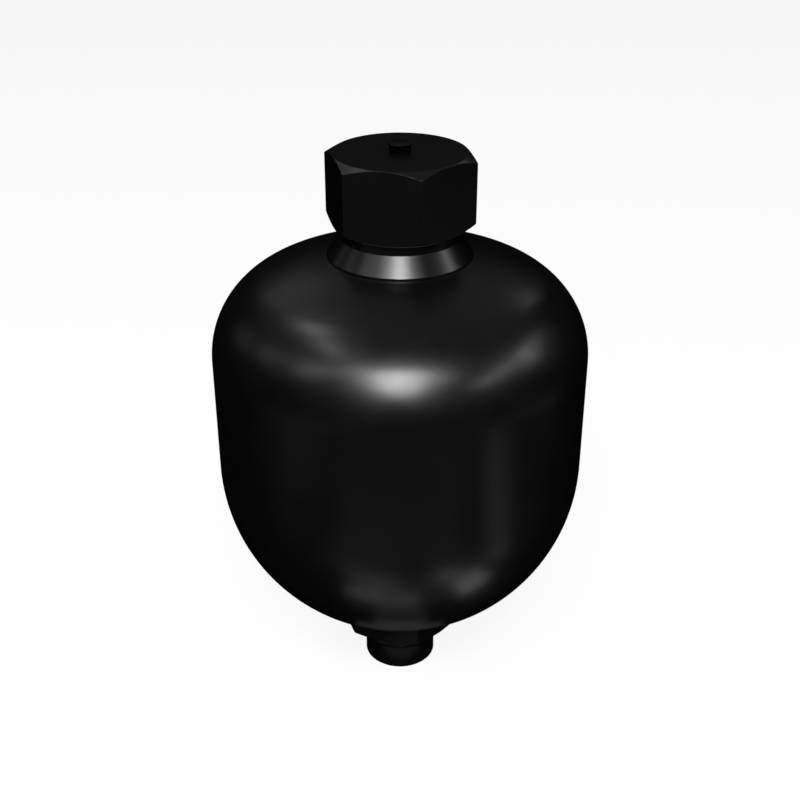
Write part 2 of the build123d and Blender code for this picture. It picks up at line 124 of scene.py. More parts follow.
@dataclass(frozen=True)
class Sizes:
    """Sizes in millimetres that several pieces share, on the vessel's axis with the port's end face at zero."""

    shell_radius: float = 60.0
    shell_wall: float = 5.0
    straight_wall: float = 38.1
    knuckle_radius: float = 28.4
    crown_radius: float = 110.0
    lower_skirt: float = 19.1
    hexagon_turn: float = 45.6
    chamfer_angle: float = 30.0
    port_hexagon_z: float = 17.4
    port_standoff: float = 6.4
    port_across_flats: float = 39.1
    port_seat_width: float = 3.55
    cap_across_flats: float = 41.0
    foot_inset: float = 0.97
    boss_seat_width: float = 3.7
    foot_land: float = 0.8
    cone_height: float = 5.6
    neck_height: float = 2.5
    thread_radius: float = 16.5
    thread_length: float = 6.0
    thread_pitch: float = 1.5
    thread_depth: float = 0.86
    shoulder_width: float = 2.15
    washer_thickness: float = 1.0
    valve_flange_height: float = 4.0
    valve_stem_length: float = 7.0
    pad_thickness: float = 1.2
    holder_thickness: float = 1.1
    holder_headroom: float = 0.2
    cap_crown: float = 3.95

    @property
    def inner_radius(self) -> float:
        """Radius of the bore of the vessel."""
        return self.shell_radius - self.shell_wall

    @property
    def bottom_centre_z(self) -> float:
        """Height of the centre of the hemispherical bottom."""
        return self.port_hexagon_z + self.port_standoff + self.shell_radius

    @property
    def knuckle_z(self) -> float:
        """Height at which the straight wall ends."""
        return self.bottom_centre_z + self.straight_wall

    @property
    def weld_z(self) -> float:
        """Height at which the two shells meet."""
        return self.bottom_centre_z + self.lower_skirt

    @property
    def knuckle_centre_radius(self) -> float:
        """Distance of the knuckle's centre from the axis."""
        return self.shell_radius - self.knuckle_radius

    @property
    def crown_centre_z(self) -> float:
        """Height of the centre of the crown's sphere."""
        reach = self.crown_radius - self.knuckle_radius
        return self.knuckle_z - math.sqrt(reach**2 - self.knuckle_centre_radius**2)

    @property
    def crown_turn(self) -> float:
        """Angle in degrees from the wall to where the knuckle meets the crown."""
        return math.degrees(math.atan2(self.knuckle_z - self.crown_centre_z, self.knuckle_centre_radius))

    @property
    def port_neck_radius(self) -> float:
        """Radius of the port's neck in the wall of the bowl."""
        return self.port_across_flats / 2 - self.port_seat_width

    @property
    def port_land_z(self) -> float:
        """Height of the port's inner end."""
        return self.bottom_height(self.port_neck_radius, self.inner_radius)

    @property
    def foot_radius(self) -> float:
        """Radius of the foot of the gas boss."""
        return self.cap_across_flats / math.sqrt(3) - self.foot_inset

    @property
    def boss_spigot_radius(self) -> float:
        """Radius of the boss where it passes through the crown."""
        return self.foot_radius - self.boss_seat_width

    @property
    def neck_radius(self) -> float:
        """Radius of the neck above the cone."""
        return self.thread_radius + self.shoulder_width

    @property
    def foot_z(self) -> float:
        """Height at which the foot of the boss meets the crown."""
        return self.crown_height(self.foot_radius)

    @property
    def neck_z(self) -> float:
        """Height at which the cone ends."""
        return self.foot_z + self.foot_land + self.cone_height

    @property
    def shoulder_z(self) -> float:
        """Height of the shoulder that the washer lies on."""
        return self.neck_z + self.neck_height

    @property
    def cap_z(self) -> float:
        """Height of the cap's lower face."""
        return self.shoulder_z + self.washer_thickness

    @property
    def neck_top_z(self) -> float:
        """Height of the boss's upper end."""
        return self.shoulder_z + self.thread_length

    @property
    def valve_flange_z(self) -> float:
        """Height of the valve flange's upper face."""
        return self.neck_top_z + self.valve_flange_height

    @property
    def stem_top_z(self) -> float:
        """Height of the mouth of the valve."""
        return self.valve_flange_z + self.valve_stem_length

    @property
    def pad_top_z(self) -> float:
        """Height of the upper face of the seal pad."""
        return self.stem_top_z + self.pad_thickness

    @property
    def holder_top_z(self) -> float:
        """Height of the upper face of the pad's cup."""
        return self.pad_top_z + self.holder_thickness

    @property
    def cap_ceiling_z(self) -> float:
        """Height of the ceiling inside the cap."""
        return self.holder_top_z + self.holder_headroom

    @property
    def cap_top_z(self) -> float:
        """Height of the cap's upper face."""
        return self.cap_ceiling_z + self.cap_crown

    def crown_height(self, radius: float, depth: float = 0.0) -> float:
        """Gives the height of the crown at a radius.

        Args:
            radius: Distance from the axis.
            depth: Depth under the skin.

        Returns:
            The height of that surface.
        """
        return self.crown_centre_z + math.sqrt((self.crown_radius - depth) ** 2 - radius**2)

    def bottom_height(self, radius: float, sphere_radius: float) -> float:
        """Gives the height of a bowl centred in the hemispherical bottom.

        Args:
            radius: Distance from the axis.
            sphere_radius: Radius of the bowl's sphere.

        Returns:
            The height of that surface.
        """
        return self.bottom_centre_z - math.sqrt(sphere_radius**2 - radius**2)


SIZES = Sizes()


@dataclass(frozen=True)
class Hexagon:
    """A hexagon whose corners are turned off to a chamfer."""

    across_flats: float
    land: float = 0.0

    @property
    def corner(self) -> float:
        """Distance of a corner from the axis."""
        return self.across_flats / math.sqrt(3)

    @property
    def face(self) -> float:
        """Radius of the end face inside the chamfer."""
        return self.across_flats / 2 + self.land

    def fall(self, reach: float) -> float:
        """Gives how far the chamfer lies back from the end face at a distance from the axis."""
        return (reach - self.face) * math.tan(math.radians(SIZES.chamfer_angle))


@dataclass(frozen=True)
class Thread:
    """A 60 degree screw thread, wound as its own closed-up ribbon."""

    major_radius: float
    pitch: float
    depth: float
    side: ThreadSide = ThreadSide.OUTSIDE
    flank_angle: float = 30.0
    crest_share: float = 0.125
    run_in: float = 1.37

    @property
    def minor_radius(self) -> float:
        """Radius at the bottom of an outside thread, or at the crest of an inside one."""
        return self.major_radius - self.depth

    def wind(
        self, bottom: float, top: float, bottom_radius: float, top_radius: float, segments: int
    ) -> bpy.types.Mesh:
        """Winds the thread by a spin with a rise, cuts both ends level and turns a lead-in on each.

        Args:
            bottom: Height of the lower end.
            top: Height of the upper end.
            bottom_radius: Radius that the lead-in has at the lower end.
            top_radius: Radius that the lead-in has at the upper end.
            segments: Steps in one turn.

        Returns:
            A mesh that is open at its two level ends.
        """
        work = bmesh.new()
        flank = self.depth * math.tan(math.radians(self.flank_angle))
        crest = self.pitch * self.crest_share
        root = self.pitch - crest - 2 * flank
        low, high = self.minor_radius, self.major_radius
        steps = ((low, root), (high, flank), (high, crest), (low, flank))
        base = bottom - self.run_in * self.pitch
        pen = work.verts.new((self.minor_radius, 0.0, base))
        for _ in range(math.ceil((top - base) / self.pitch) + 1):
            for radius, rise in steps:
                height = pen.co.z + rise
                pen = bmesh.ops.extrude_vert_indiv(work, verts=[pen])["verts"][0]
                pen.co = (radius, 0.0, height)
        bmesh.ops.spin(
            work,
            geom=work.verts[:] + work.edges[:],
            cent=(0, 0, 0),
            axis=(0, 0, 1),
            dvec=(0, 0, self.pitch / segments),
            angle=math.tau,
            steps=segments,
        )
        bmesh.ops.remove_doubles(work, verts=work.verts[:], dist=SEAM)
        for height, normal in ((bottom, (0, 0, -1)), (top, (0, 0, 1))):
            geom = work.verts[:] + work.edges[:] + work.faces[:]
            bmesh.ops.bisect_plane(
                work, geom=geom, dist=SAME, plane_co=(0, 0, height), plane_no=normal, clear_outer=True
            )
        sign = self.side.value
        for vert in work.verts:
            radius = vert.co.xy.length
            limit_below = bottom_radius + sign * (vert.co.z - bottom)
            limit_above = top_radius + sign * (top - vert.co.z)
            if sign > 0:
                wanted = min(radius, limit_below, limit_above)
            else:
                wanted = max(radius, limit_below, limit_above)
            vert.co.xy = vert.co.xy * (wanted / radius)
        mesh = bpy.data.meshes.new("thread")
        work.to_mesh(mesh)
        work.free()
        return mesh


class Turning:
    """A workpiece that is drawn as a section, turned about the vessel's axis and then finished, in millimetres."""

    def __init__(self, facets: Facets) -> None:
        """Clamps an empty workpiece.

        Args:
            facets: Steps in one turn, a multiple of twelve.
        """
        self.work = bmesh.new()
        self.segments = int(facets)
        self.first: bmesh.types.BMVert | None = None
        self.pen: bmesh.types.BMVert | None = None

    def start(self, radius: float, height: float) -> "Turning":
        """Sets the pen down.

        Args:
            radius: Radius at which the section starts.
            height: Height at which it starts.

        Returns:
            The workpiece.
        """
        self.pen = self.work.verts.new((radius, 0.0, height))
        self.first = self.pen
        return self

    def line(self, radius: float, height: float, parts: int = 1) -> "Turning":
        """Draws a straight line.

        Args:
            radius: Radius of its end.
            height: Height of its end.
            parts: Equal parts it is drawn in.

        Returns:
            The workpiece.
        """
        begin = self.pen.co.copy()
        for part in range(1, parts + 1):
            self.pen = bmesh.ops.extrude_vert_indiv(self.work, verts=[self.pen])["verts"][0]
            self.pen.co = begin.lerp(Vector((radius, 0.0, height)), part / parts)
        return self

    def lines(self, *points: Pair) -> "Turning":
        """Draws straight lines.

        Args:
            *points: Where they end, each a radius and a height.

        Returns:
            The workpiece.
        """
        for radius, height in points:
            self.line(radius, height)
        return self

    def arc(self, radius: float, height: float, degrees: float, parts: int) -> "Turning":
        """Draws an arc by spinning the pen about a centre.

        Args:
            radius: Radius of the arc's centre.
            height: Height of the arc's centre.
            degrees: Turn of the arc, positive from outwards to upwards.
            parts: Equal parts it is drawn in.

        Returns:
            The workpiece.
        """
        made = bmesh.ops.spin(
            self.work,
            geom=[self.pen],
            cent=(radius, 0.0, height),
            axis=(0, -1, 0),
            angle=math.radians(degrees),
            steps=parts,
        )
        self.pen = next(part for part in made["geom_last"] if isinstance(part, bmesh.types.BMVert))
        return self

    def close(self) -> "Turning":
        """Joins the pen to where it started."""
        self.work.edges.new((self.pen, self.first))
        return self

    def turn(self) -> "Turning":
        """Turns the section one full turn about the axis and closes its seam and poles.

        Returns:
            The workpiece.
        """
        bmesh.ops.spin(
            self.work,
            geom=self.work.verts[:] + self.work.edges[:],
            cent=(0, 0, 0),
            axis=(0, 0, 1),
            angle=math.tau,
            steps=self.segments,
            use_merge=True,
        )
        bmesh.ops.remove_doubles(self.work, verts=self.work.verts[:], dist=SAME)
        return self

    def ring(self, inner: float, outer: float, low: float, high: float) -> "Turning":
        """Turns a ring of rectangular section.

        Args:
            inner: Radius of its bore.
            outer: Radius of its outside.
            low: Height of its lower face.
            high: Height of its upper face.

        Returns:
            The workpiece.
        """
        self.start(inner, low).lines((outer, low), (outer, high), (inner, high))
        return self.close().turn()

    def _on_circle(self, radius: float, height: float) -> list[bmesh.types.BMEdge]:
        """Finds the edges that lie on one circle about the axis.

        Args:
            radius: Radius of the circle.
            height: Height of the circle.

        Returns:
            The edges.
        """
        return [
            edge
            for edge in self.work.edges
            if all(abs(v.co.xy.length - radius) < NEAR and abs(v.co.z - height) < NEAR for v in edge.verts)
        ]

    def _bevel(self, edges: Sequence[bmesh.types.BMEdge], offset: float, parts: int) -> None:
        """Rounds edges.

        Args:
            edges: The edges.
            offset: Width of the rounding along the faces beside them.
            parts: Parts of the rounding.
        """
        bmesh.ops.bevel(
            self.work,
            geom=list(edges),
            offset=offset,
            offset_type="OFFSET",
            segments=parts,
            profile=0.5,
            affect="EDGES",
            clamp_overlap=True,
            material=-1,
        )

    def round_rim(self, radius: float, height: float, size: float = BROKEN_EDGE, parts: int = 3) -> "Turning":
        """Rounds the rim at a radius and height.

        Args:
            radius: Radius of the rim.
            height: Height of the rim.
            size: Radius of the rounding.
            parts: Parts of the rounding.

        Returns:
            The workpiece.
        """
        edges = self._on_circle(radius, height)
        if not edges:
            raise ValueError(f"no rim at {radius:.3f}, {height:.3f}")
        self._bevel(edges, size * math.tan(edges[0].calc_face_angle() / 2), parts)
        return self

    def round_rims(self, size: float, *rims: Pair, parts: int = 3) -> "Turning":
        """Rounds several rims by the same radius.

        Args:
            size: Radius of the roundings.
            *rims: The rims, each a radius and a height.
            parts: Parts of each rounding.

        Returns:
            The workpiece.
        """
        for radius, height in rims:
            self.round_rim(radius, height, size, parts)
        return self

    def press_hexagon(
        self,
        hexagon: Hexagon,
        rows: dict[float, Callable[[float], float]],
        edge_size: float = 0.06,
    ) -> "Turning":
        """Presses the rows that were turned at the corner radius into a hexagon and rounds its edges.

        Args:
            hexagon: The hexagon.
            rows: The rows that bound the flats, by height, each with the height it takes at a distance from the axis.
            edge_size: Radius of the rounding along the corners and the chamfers.

        Returns:
            The workpiece.
        """
        corner = hexagon.corner
        rims = [edge for height in rows for edge in self._on_circle(corner, height)]
        uprights = []
        moved = [v for v in self.work.verts if abs(v.co.xy.length - corner) < NEAR]
        for edge in self.work.edges:
            low, high = sorted(edge.verts, key=lambda v: v.co.z)
            if high.co.z - low.co.z < NEAR or any(abs(v.co.xy.length - corner) > NEAR for v in edge.verts):
                continue
            past = math.degrees(math.atan2(low.co.y, low.co.x)) % 60.0
            if min(past, 60.0 - past) < ON_CORNER:
                uprights.append(edge)
        for vert in moved:
            past = math.atan2(vert.co.y, vert.co.x) % (math.pi / 3)
            reach = hexagon.across_flats / 2 / math.cos(past - math.pi / 6)
            for height, lifted in rows.items():
                if abs(vert.co.z - height) < NEAR:
                    vert.co.z = lifted(reach)
                    break
            vert.co.xy = vert.co.xy * (reach / corner)
        self._bevel(rims + uprights, edge_size * math.tan(math.pi / 6), 3)
        return self

    def fit_thread(
        self, thread: Thread, bottom: float, top: float, bottom_radius: float, top_radius: float
    ) -> "Turning":
        """Fits a wound thread into the open gap of the turned section.

        Args:
            thread: The thread to wind.
            bottom: Height of the gap's lower rim.
            top: Height of the gap's upper rim.
            bottom_radius: Radius of the thread's lead-in at the lower rim.
            top_radius: Radius of the thread's lead-in at the upper rim.

        Returns:
            The workpiece.
        """
        wound = thread.wind(bottom, top, bottom_radius, top_radius, self.segments)
        self.work.from_mesh(wound)
        bpy.data.meshes.remove(wound)
        for height in (bottom, top):
            rims = [
                edge
                for edge in self.work.edges
                if edge.is_boundary and all(abs(v.co.z - height) < NEAR for v in edge.verts)
            ]
            bmesh.ops.bridge_loops(self.work, edges=rims)
        return self

    def second_finish(self, wanted: Callable[[float, float], bool]) -> "Turning":
        """Gives the faces at wanted places the piece's second finish.

        Args:
            wanted: Says for a radius and a height whether a face there takes it.

        Returns:
            The workpiece.
        """
        for face in self.work.faces:
            reach = sum(v.co.xy.length for v in face.verts) / len(face.verts)
            if wanted(reach, face.calc_center_median().z):
                face.material_index = 1
        return self

    def piece(self, name: str, sharp: float = SHARP) -> Piece:
        """Takes the workpiece off as a finished piece, with its place in its mesh and in metres.

        Args:
            name: Name of the piece.
            sharp: Angle in degrees from which an edge is drawn sharp.

        Returns:
            The piece.
        """
        work = self.work
        turn = Matrix.Rotation(math.radians(SIZES.hexagon_turn), 3, "Z")
        bmesh.ops.rotate(work, verts=work.verts[:], cent=(0, 0, 0), matrix=turn)
        bmesh.ops.scale(work, verts=work.verts[:], vec=(MM, MM, MM))
        bmesh.ops.recalc_face_normals(work, faces=work.faces[:])
        for face in work.faces:
            face.smooth = True
        for edge in work.edges:
            edge.smooth = edge.calc_face_angle(0.0) < math.radians(sharp)
        open_edges = sum(1 for edge in work.edges if not edge.is_manifold)
        mesh = bpy.data.meshes.new(name)
        work.to_mesh(mesh)
        work.free()
        made = bpy.data.objects.new(name, mesh)
        bpy.context.scene.collection.objects.link(made)
        weighted = made.modifiers.new("flats_stay_flat", "WEIGHTED_NORMAL")
        weighted.mode = "FACE_AREA"
        weighted.weight = 50
        weighted.keep_sharp = True
        if open_edges:
            LOG.warning("%s has %d open edges", name, open_edges)
        return made


class NodeBoard:
    """A node tree that nodes are laid out in."""

    def __init__(self, owner: Material | bpy.types.World) -> None:
        """Empties a node tree.

        Args:
            owner: The material or the world that it belongs to.
        """
        owner.use_nodes = True
        self.tree = owner.node_tree
        self.tree.nodes.clear()

    def add(self, kind: str, **settings: object) -> bpy.types.Node:
        """Adds a node.

        Args:
            kind: Type of the node.
            **settings: Attributes that are set on it.

        Returns:
            The node.
        """
        node = self.tree.nodes.new(kind)
        for key, value in settings.items():
            setattr(node, key, value)
        return node

    def join(self, source: bpy.types.Node, output: str | int, target: bpy.types.Node, socket: str | int) -> None:
        """Links an output to an input."""
        self.tree.links.new(source.outputs[output], target.inputs[socket])

    def fill(self, node: bpy.types.Node, values: dict[str | int, object]) -> bpy.types.Node:
        """Sets a node's own sockets.

        Args:
            node: The node.
            values: The values by the names or numbers of the sockets.

        Returns:
            The node.
        """
        for socket, value in values.items():
            node.inputs[socket].default_value = value
        return node


class NodeSheet(NodeBoard):
    """Lays out the nodes of one finish."""

    def __init__(self, name: str) -> None:
        """Opens an empty material.

        Args:
            name: Name of the material.
        """
        self.material = bpy.data.materials.new(name)
        super().__init__(self.material)
        self.shader = self.add("ShaderNodeBsdfPrincipled")
        self.join(self.shader, "BSDF", self.add("ShaderNodeOutputMaterial"), "Surface")
        self.coordinates = self.add("ShaderNodeTexCoord")

    def noise(self, per_mm: float, detail: float = 3.0, roughness: float = 0.5) -> bpy.types.Node:
        """Adds a noise in object coordinates.

        Args:
            per_mm: Features in a millimetre.
            detail: Octaves.
            roughness: Share that each finer octave keeps.

        Returns:
            The noise node.
        """
        node = self.add("ShaderNodeTexNoise")
        self.join(self.coordinates, "Object", node, "Vector")
        return self.fill(node, {"Scale": per_mm / MM, "Detail": detail, "Roughness": roughness})

    def lathe_lines(self, per_mm: float, wander: float = 0.02) -> bpy.types.Node:
        """Adds fine lines that run round the axis, as a turning tool leaves them.

        Args:
            per_mm: Lines in a millimetre.
            wander: How far the lines change along their way round.

        Returns:
            The noise node.
        """
        split = self.add("ShaderNodeSeparateXYZ")
        self.join(self.coordinates, "Object", split, "Vector")
        flat = self.add("ShaderNodeCombineXYZ")
        for axis in ("X", "Y"):
            self.join(split, axis, flat, axis)
        length = self.add("ShaderNodeVectorMath", operation="LENGTH")
        self.join(flat, "Vector", length, 0)
        across = self.fill(self.add("ShaderNodeMath", operation="MULTIPLY"), {1: wander})
        self.join(split, "X", across, 0)
        joined = self.add("ShaderNodeCombineXYZ")
        self.join(length, "Value", joined, "X")
        self.join(across, "Value", joined, "Y")
        self.join(split, "Z", joined, "Z")
        node = self.fill(self.add("ShaderNodeTexNoise"), {"Scale": per_mm / MM, "Detail": 2.0})
        self.join(joined, "Vector", node, "Vector")
        return node

    def shades(self, source: bpy.types.Node, dark: Triple, light: Triple) -> None:
        """Colours the surface between two shades by a noise.

        Args:
            source: The noise.
            dark: Shade at its lower end.
            light: Shade at its upper end.
        """
        ramp = self.add("ShaderNodeValToRGB")
        ends = ((NOISE_LOW, dark), (NOISE_HIGH, light))
        for element, (position, shade) in zip(ramp.color_ramp.elements, ends):
            element.position = position
            element.color = (*shade, 1.0)
        self.join(source, 0, ramp, "Fac")
        self.join(ramp, "Color", self.shader, "Base Color")

    def gloss(self, source: bpy.types.Node, smooth: float, rough: float) -> None:
        """Spreads the roughness over a range by a noise.

        Args:
            source: The noise.
            smooth: Roughness at its lower end.
            rough: Roughness at its upper end.
        """
        ends = {"From Min": NOISE_LOW, "From Max": NOISE_HIGH, "To Min": smooth, "To Max": rough}
        node = self.fill(self.add("ShaderNodeMapRange"), ends)
        self.join(source, 0, node, "Value")
        self.join(node, "Result", self.shader, "Roughness")

    def bumps(self, *layers: tuple[bpy.types.Node, float, float]) -> None:
        """Raises the surface.

        Args:
            *layers: Each a noise, a strength and a height in millimetres.
        """
        target = self.shader
        for source, strength, height in reversed(layers):
            node = self.fill(self.add("ShaderNodeBump"), {"Strength": strength, "Distance": height * MM})
            self.join(source, 0, node, "Height")
            self.join(node, "Normal", target, "Normal")
            target = node


def grey(value: float) -> Triple:
    """Gives a neutral shade."""
    return (value, value, value)


@dataclass(frozen=True)
class Enamel:
    """Black semi-gloss enamel: a faint orange peel, and gloss and shade that drift a little over the surface."""

    name: str
    dark: Triple = grey(0.001)
    light: Triple = grey(0.0018)
    roughness: Pair = (0.278, 0.322)
    index: float = 1.5
    shade_per_mm: float = 0.05
    gloss_per_mm: float = 0.11
    peel_per_mm: float = 0.55
    peel_relief: Pair = (0.12, 0.012)
    grain_per_mm: float = 1.8
    grain_relief: Pair = (0.04, 0.002)

    def make(self) -> Material:
        """Builds the material.

        Returns:
            The material.
        """
        sheet = NodeSheet(self.name)
        sheet.shades(sheet.noise(self.shade_per_mm, 4.0), self.dark, self.light)
        sheet.gloss(sheet.noise(self.gloss_per_mm, 5.0, 0.6), *self.roughness)
        peel, grain = sheet.noise(self.peel_per_mm, 2.0), sheet.noise(self.grain_per_mm, 1.0)
        sheet.bumps((peel, *self.peel_relief), (grain, *self.grain_relief))
        sheet.fill(sheet.shader, {"IOR": self.index})
        return sheet.material


def painted_shade_black(name: str) -> Enamel:
    """Gives a darker, dull copy of the enamel that mirrors next to nothing: painted shade for the stud's sides."""
    return Enamel(name, grey(0.0004), grey(0.0009), roughness=(0.55, 0.65), index=1.07)


@dataclass(frozen=True)
class TurnedMetal:
    """Bare metal with the fine rings that a turning tool leaves."""

    name: str
    dark: Triple
    light: Triple
    roughness: Pair = (0.28, 0.42)
    shade_per_mm: float = 0.3
    lines_per_mm: float = 5.0
    line_relief: Pair = (0.25, 0.01)
    grain_per_mm: float = 3.0
    grain_relief: Pair = (0.06, 0.004)

    def make(self) -> Material:
        """Builds the material.

        Returns:
            The material.
        """
        sheet = NodeSheet(self.name)
        lines = sheet.lathe_lines(self.lines_per_mm)
        sheet.shades(sheet.noise(self.shade_per_mm, 4.0), self.dark, self.light)
        sheet.gloss(lines, *self.roughness)
        sheet.bumps((lines, *self.line_relief), (sheet.noise(self.grain_per_mm), *self.grain_relief))
        sheet.fill(sheet.shader, {"Metallic": 1.0})
        return sheet.material


@dataclass(frozen=True)
class Phosphated:
    """Dark phosphate coat on threads and inner walls: matt, with a fine crystal grain."""

    name: str
    dark: Triple = (0.018, 0.018, 0.019)
    light: Triple = (0.045, 0.045, 0.046)
    roughness: Pair = (0.42, 0.68)
    metallic: float = 0.55
    shade_per_mm: float = 0.6
    grain_per_mm: float = 8.0
    grain_relief: Pair = (0.2, 0.012)

    def make(self) -> Material:
        """Builds the material.

        Returns:
            The material.
        """
        sheet = NodeSheet(self.name)
        grain = sheet.noise(self.grain_per_mm, 4.0, 0.65)
        sheet.shades(sheet.noise(self.shade_per_mm, 6.0, 0.65), self.dark, self.light)
        sheet.gloss(grain, *self.roughness)
        sheet.bumps((grain, *self.grain_relief))
        sheet.fill(sheet.shader, {"Metallic": self.metallic})
        return sheet.material


@dataclass(frozen=True)
class Rubber:
    """Moulded nitrile rubber: matt, with a fine mould grain and a faint bloom."""

    name: str
    dark: Triple = grey(0.006)
    light: Triple = (0.014, 0.014, 0.013)
    roughness: Pair = (0.55, 0.75)
    index: float = 1.45
    bloom_per_mm: float = 0.12
    grain_per_mm: float = 5.0
    grain_relief: Pair = (0.15, 0.015)

    def make(self) -> Material:
        """Builds the material.

        Returns:
            The material.
        """
        sheet = NodeSheet(self.name)
        grain = sheet.noise(self.grain_per_mm, 3.0, 0.6)
        sheet.shades(sheet.noise(self.bloom_per_mm, 5.0, 0.6), self.dark, self.light)
        sheet.gloss(grain, *self.roughness)
        sheet.bumps((grain, *self.grain_relief))
        sheet.fill(sheet.shader, {"IOR": self.index})
        return sheet.material


@dataclass(frozen=True)
class DrawnWire:
    """Spring wire with the fine streaks of its drawing die."""

    name: str
    dark: Triple = (0.26, 0.26, 0.27)
    light: Triple = (0.42, 0.42, 0.43)
    roughness: Pair = (0.28, 0.38)
    streaks_per_mm: float = 18.0
    streak_relief: Pair = (0.15, 0.004)

    def make(self) -> Material:
        """Builds the material.

        Returns:
            The material.
        """
        sheet = NodeSheet(self.name)
        streaks = sheet.lathe_lines(self.streaks_per_mm)
        sheet.shades(streaks, self.dark, self.light)
        sheet.gloss(streaks, *self.roughness)
        sheet.bumps((streaks, *self.streak_relief))
        sheet.fill(sheet.shader, {"Metallic": 1.0})
        return sheet.material


@dataclass
class Finishes:
    """The finishes of the whole object, each made once."""

    vessel: Material = field(default_factory=Enamel("vessel_enamel").make)
    boss: Material = field(default_factory=Enamel("boss_enamel", roughness=(0.25, 0.27)).make)
    cap: Material = field(default_factory=Enamel("cap_enamel").make)
    # Painted shade: the stud's sides take a darker, dull copy of the enamel.
    stud: Material = field(default_factory=painted_shade_black("stud_painted_shade").make)
    phosphate: Material = field(default_factory=Phosphated("phosphated_steel").make)
    steel: Material = field(default_factory=TurnedMetal("turned_steel", (0.36, 0.36, 0.37), (0.52, 0.52, 0.53)).make)
    brass: Material = field(default_factory=TurnedMetal("turned_brass", (0.62, 0.4, 0.15), (0.76, 0.53, 0.24)).make)
    rubber: Material = field(default_factory=Rubber("nitrile_rubber").make)
    wire: Material = field(default_factory=DrawnWire("spring_wire").make)

    def of(self, slot: Slot) -> Sequence[Material]:
        """Gives the finishes that the pieces of a slot usually have.

        Args:
            slot: The slot.

        Returns:
            The first finish, and the second where there is one.
        """
        usual = {
            Slot.VESSEL_PAINT: (self.vessel, self.phosphate),
            Slot.CAP_PAINT: (self.cap, self.phosphate),
            Slot.MACHINED_STEEL: (self.steel,),
            Slot.VALVE_BRASS: (self.brass,),
            Slot.SPRING_WIRE: (self.wire,),
            Slot.RUBBER: (self.rubber,),
        }
        return usual[slot]


@dataclass
class Assembly(ABC):
    """What the sub-assemblies share: the finishes, and how a piece is put in its place."""

    finishes: Finishes

    @abstractmethod
    def build(self) -> list[Piece]:
        """Builds the pieces."""

    def place(
        self,
        work: Turning,
        name: str,
        node: str,
        slot: Slot,
        body: Body | None = None,
        materials: Sequence[Material] = (),
        sharp: float = SHARP,
    ) -> Piece:
        """Takes a workpiece off, gives it its finishes, lets it stand for a CAD node and puts it on its body.

        Args:
            work: The finished workpiece.
            name: Name of the piece.
            node: The CAD node that it stands for.
            slot: The record's material slot that it takes its finish from.
            body: The body it rides on, or None.
            materials: Its finishes, where they aren't those of its slot.
            sharp: Angle in degrees from which an edge is drawn sharp.

        Returns:
            The piece.
        """
        piece = work.piece(name, sharp)
        for material in materials or self.finishes.of(slot):
            piece.data.materials.append(material)
        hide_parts(node)
        if body is not None:
            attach(piece, body.value)
        return piece


@dataclass
class Vessel(Assembly):
    """The two deep-drawn shells, which meet at a weld that is ground flush."""

    rebate_depth: float = 1.5
    rebate_below_weld: float = 10.9
    rebate_above_weld: float = 5.1
    skin: float = 0.4

    def lower_shell(self) -> Piece:
        """Builds the hemispherical cup with the rebate for the clamp at its rim.

        Returns:
            The piece.
        """
        s = SIZES
        centre = s.bottom_centre_z
        rebate = s.inner_radius + self.rebate_depth
        outer = math.degrees(math.acos(s.port_neck_radius / s.shell_radius))
        inner = math.degrees(math.acos(s.port_neck_radius / s.inner_radius))
        work = Turning(Facets.SHELL).start(s.port_neck_radius, s.bottom_height(s.port_neck_radius, s.shell_radius))
        work.arc(0.0, centre, outer, parts=56)
        work.line(s.shell_radius, s.weld_z, parts=6)
        work.lines((rebate, s.weld_z), (rebate, s.weld_z - self.rebate_below_weld))
        work.line(s.inner_radius, s.weld_z - self.rebate_below_weld)
        work.line(s.inner_radius, centre, parts=2)
        work.arc(0.0, centre, -inner, parts=36)
        work.close().turn()
        work.second_finish(self._inside)
        return self.place(work, "vessel_bowl", "lower_shell", Slot.VESSEL_PAINT, Body.VESSEL)

    def upper_shell(self) -> Piece:
        """Builds the straight wall, the knuckle and the crown with the bored hole for the gas boss.

        Returns:
            The piece.
        """
        s = SIZES
        rebate = s.inner_radius + self.rebate_depth
        hole = s.boss_spigot_radius
        outer = math.degrees(math.acos(hole / s.crown_radius)) - s.crown_turn
        inner = math.degrees(math.acos(hole / (s.crown_radius - s.shell_wall))) - s.crown_turn
        work = Turning(Facets.SHELL).start(s.shell_radius, s.weld_z)
        work.line(s.shell_radius, s.knuckle_z, parts=6)
        work.arc(s.knuckle_centre_radius, s.knuckle_z, s.crown_turn, parts=40)
        work.arc(0.0, s.crown_centre_z, outer, parts=24)
        work.line(hole, s.crown_height(hole, s.shell_wall))
        work.arc(0.0, s.crown_centre_z, -inner, parts=12)
        work.arc(s.knuckle_centre_radius, s.knuckle_z, -s.crown_turn, parts=24)
        work.line(s.inner_radius, s.weld_z + self.rebate_above_weld)
        work.lines((rebate, s.weld_z + self.rebate_above_weld), (rebate, s.weld_z))
        work.close().turn()
        work.second_finish(self._inside)
        return self.place(work, "vessel_dome", "upper_shell", Slot.VESSEL_PAINT, Body.VESSEL)

    def _inside(self, radius: float, height: float) -> bool:
        """Says whether a face is inside the vessel's skin.

        Args:
            radius: Its distance from the axis.
            height: Its height.

        Returns:
            Whether it is.
        """
        s = SIZES
        if height < s.bottom_centre_z:
            return math.hypot(radius, height - s.bottom_centre_z) < s.shell_radius - self.skin
        if height < s.knuckle_z:
            return radius < s.shell_radius - self.skin
        reach = math.hypot(radius - s.knuckle_centre_radius, height - s.knuckle_z)
        if radius > s.knuckle_centre_radius and reach > s.knuckle_radius - self.skin:
            return False
        return math.hypot(radius, height - s.crown_centre_z) < s.crown_radius - self.skin

    def build(self) -> list[Piece]:
        """Builds both shells."""
        return [self.lower_shell(), self.upper_shell()]


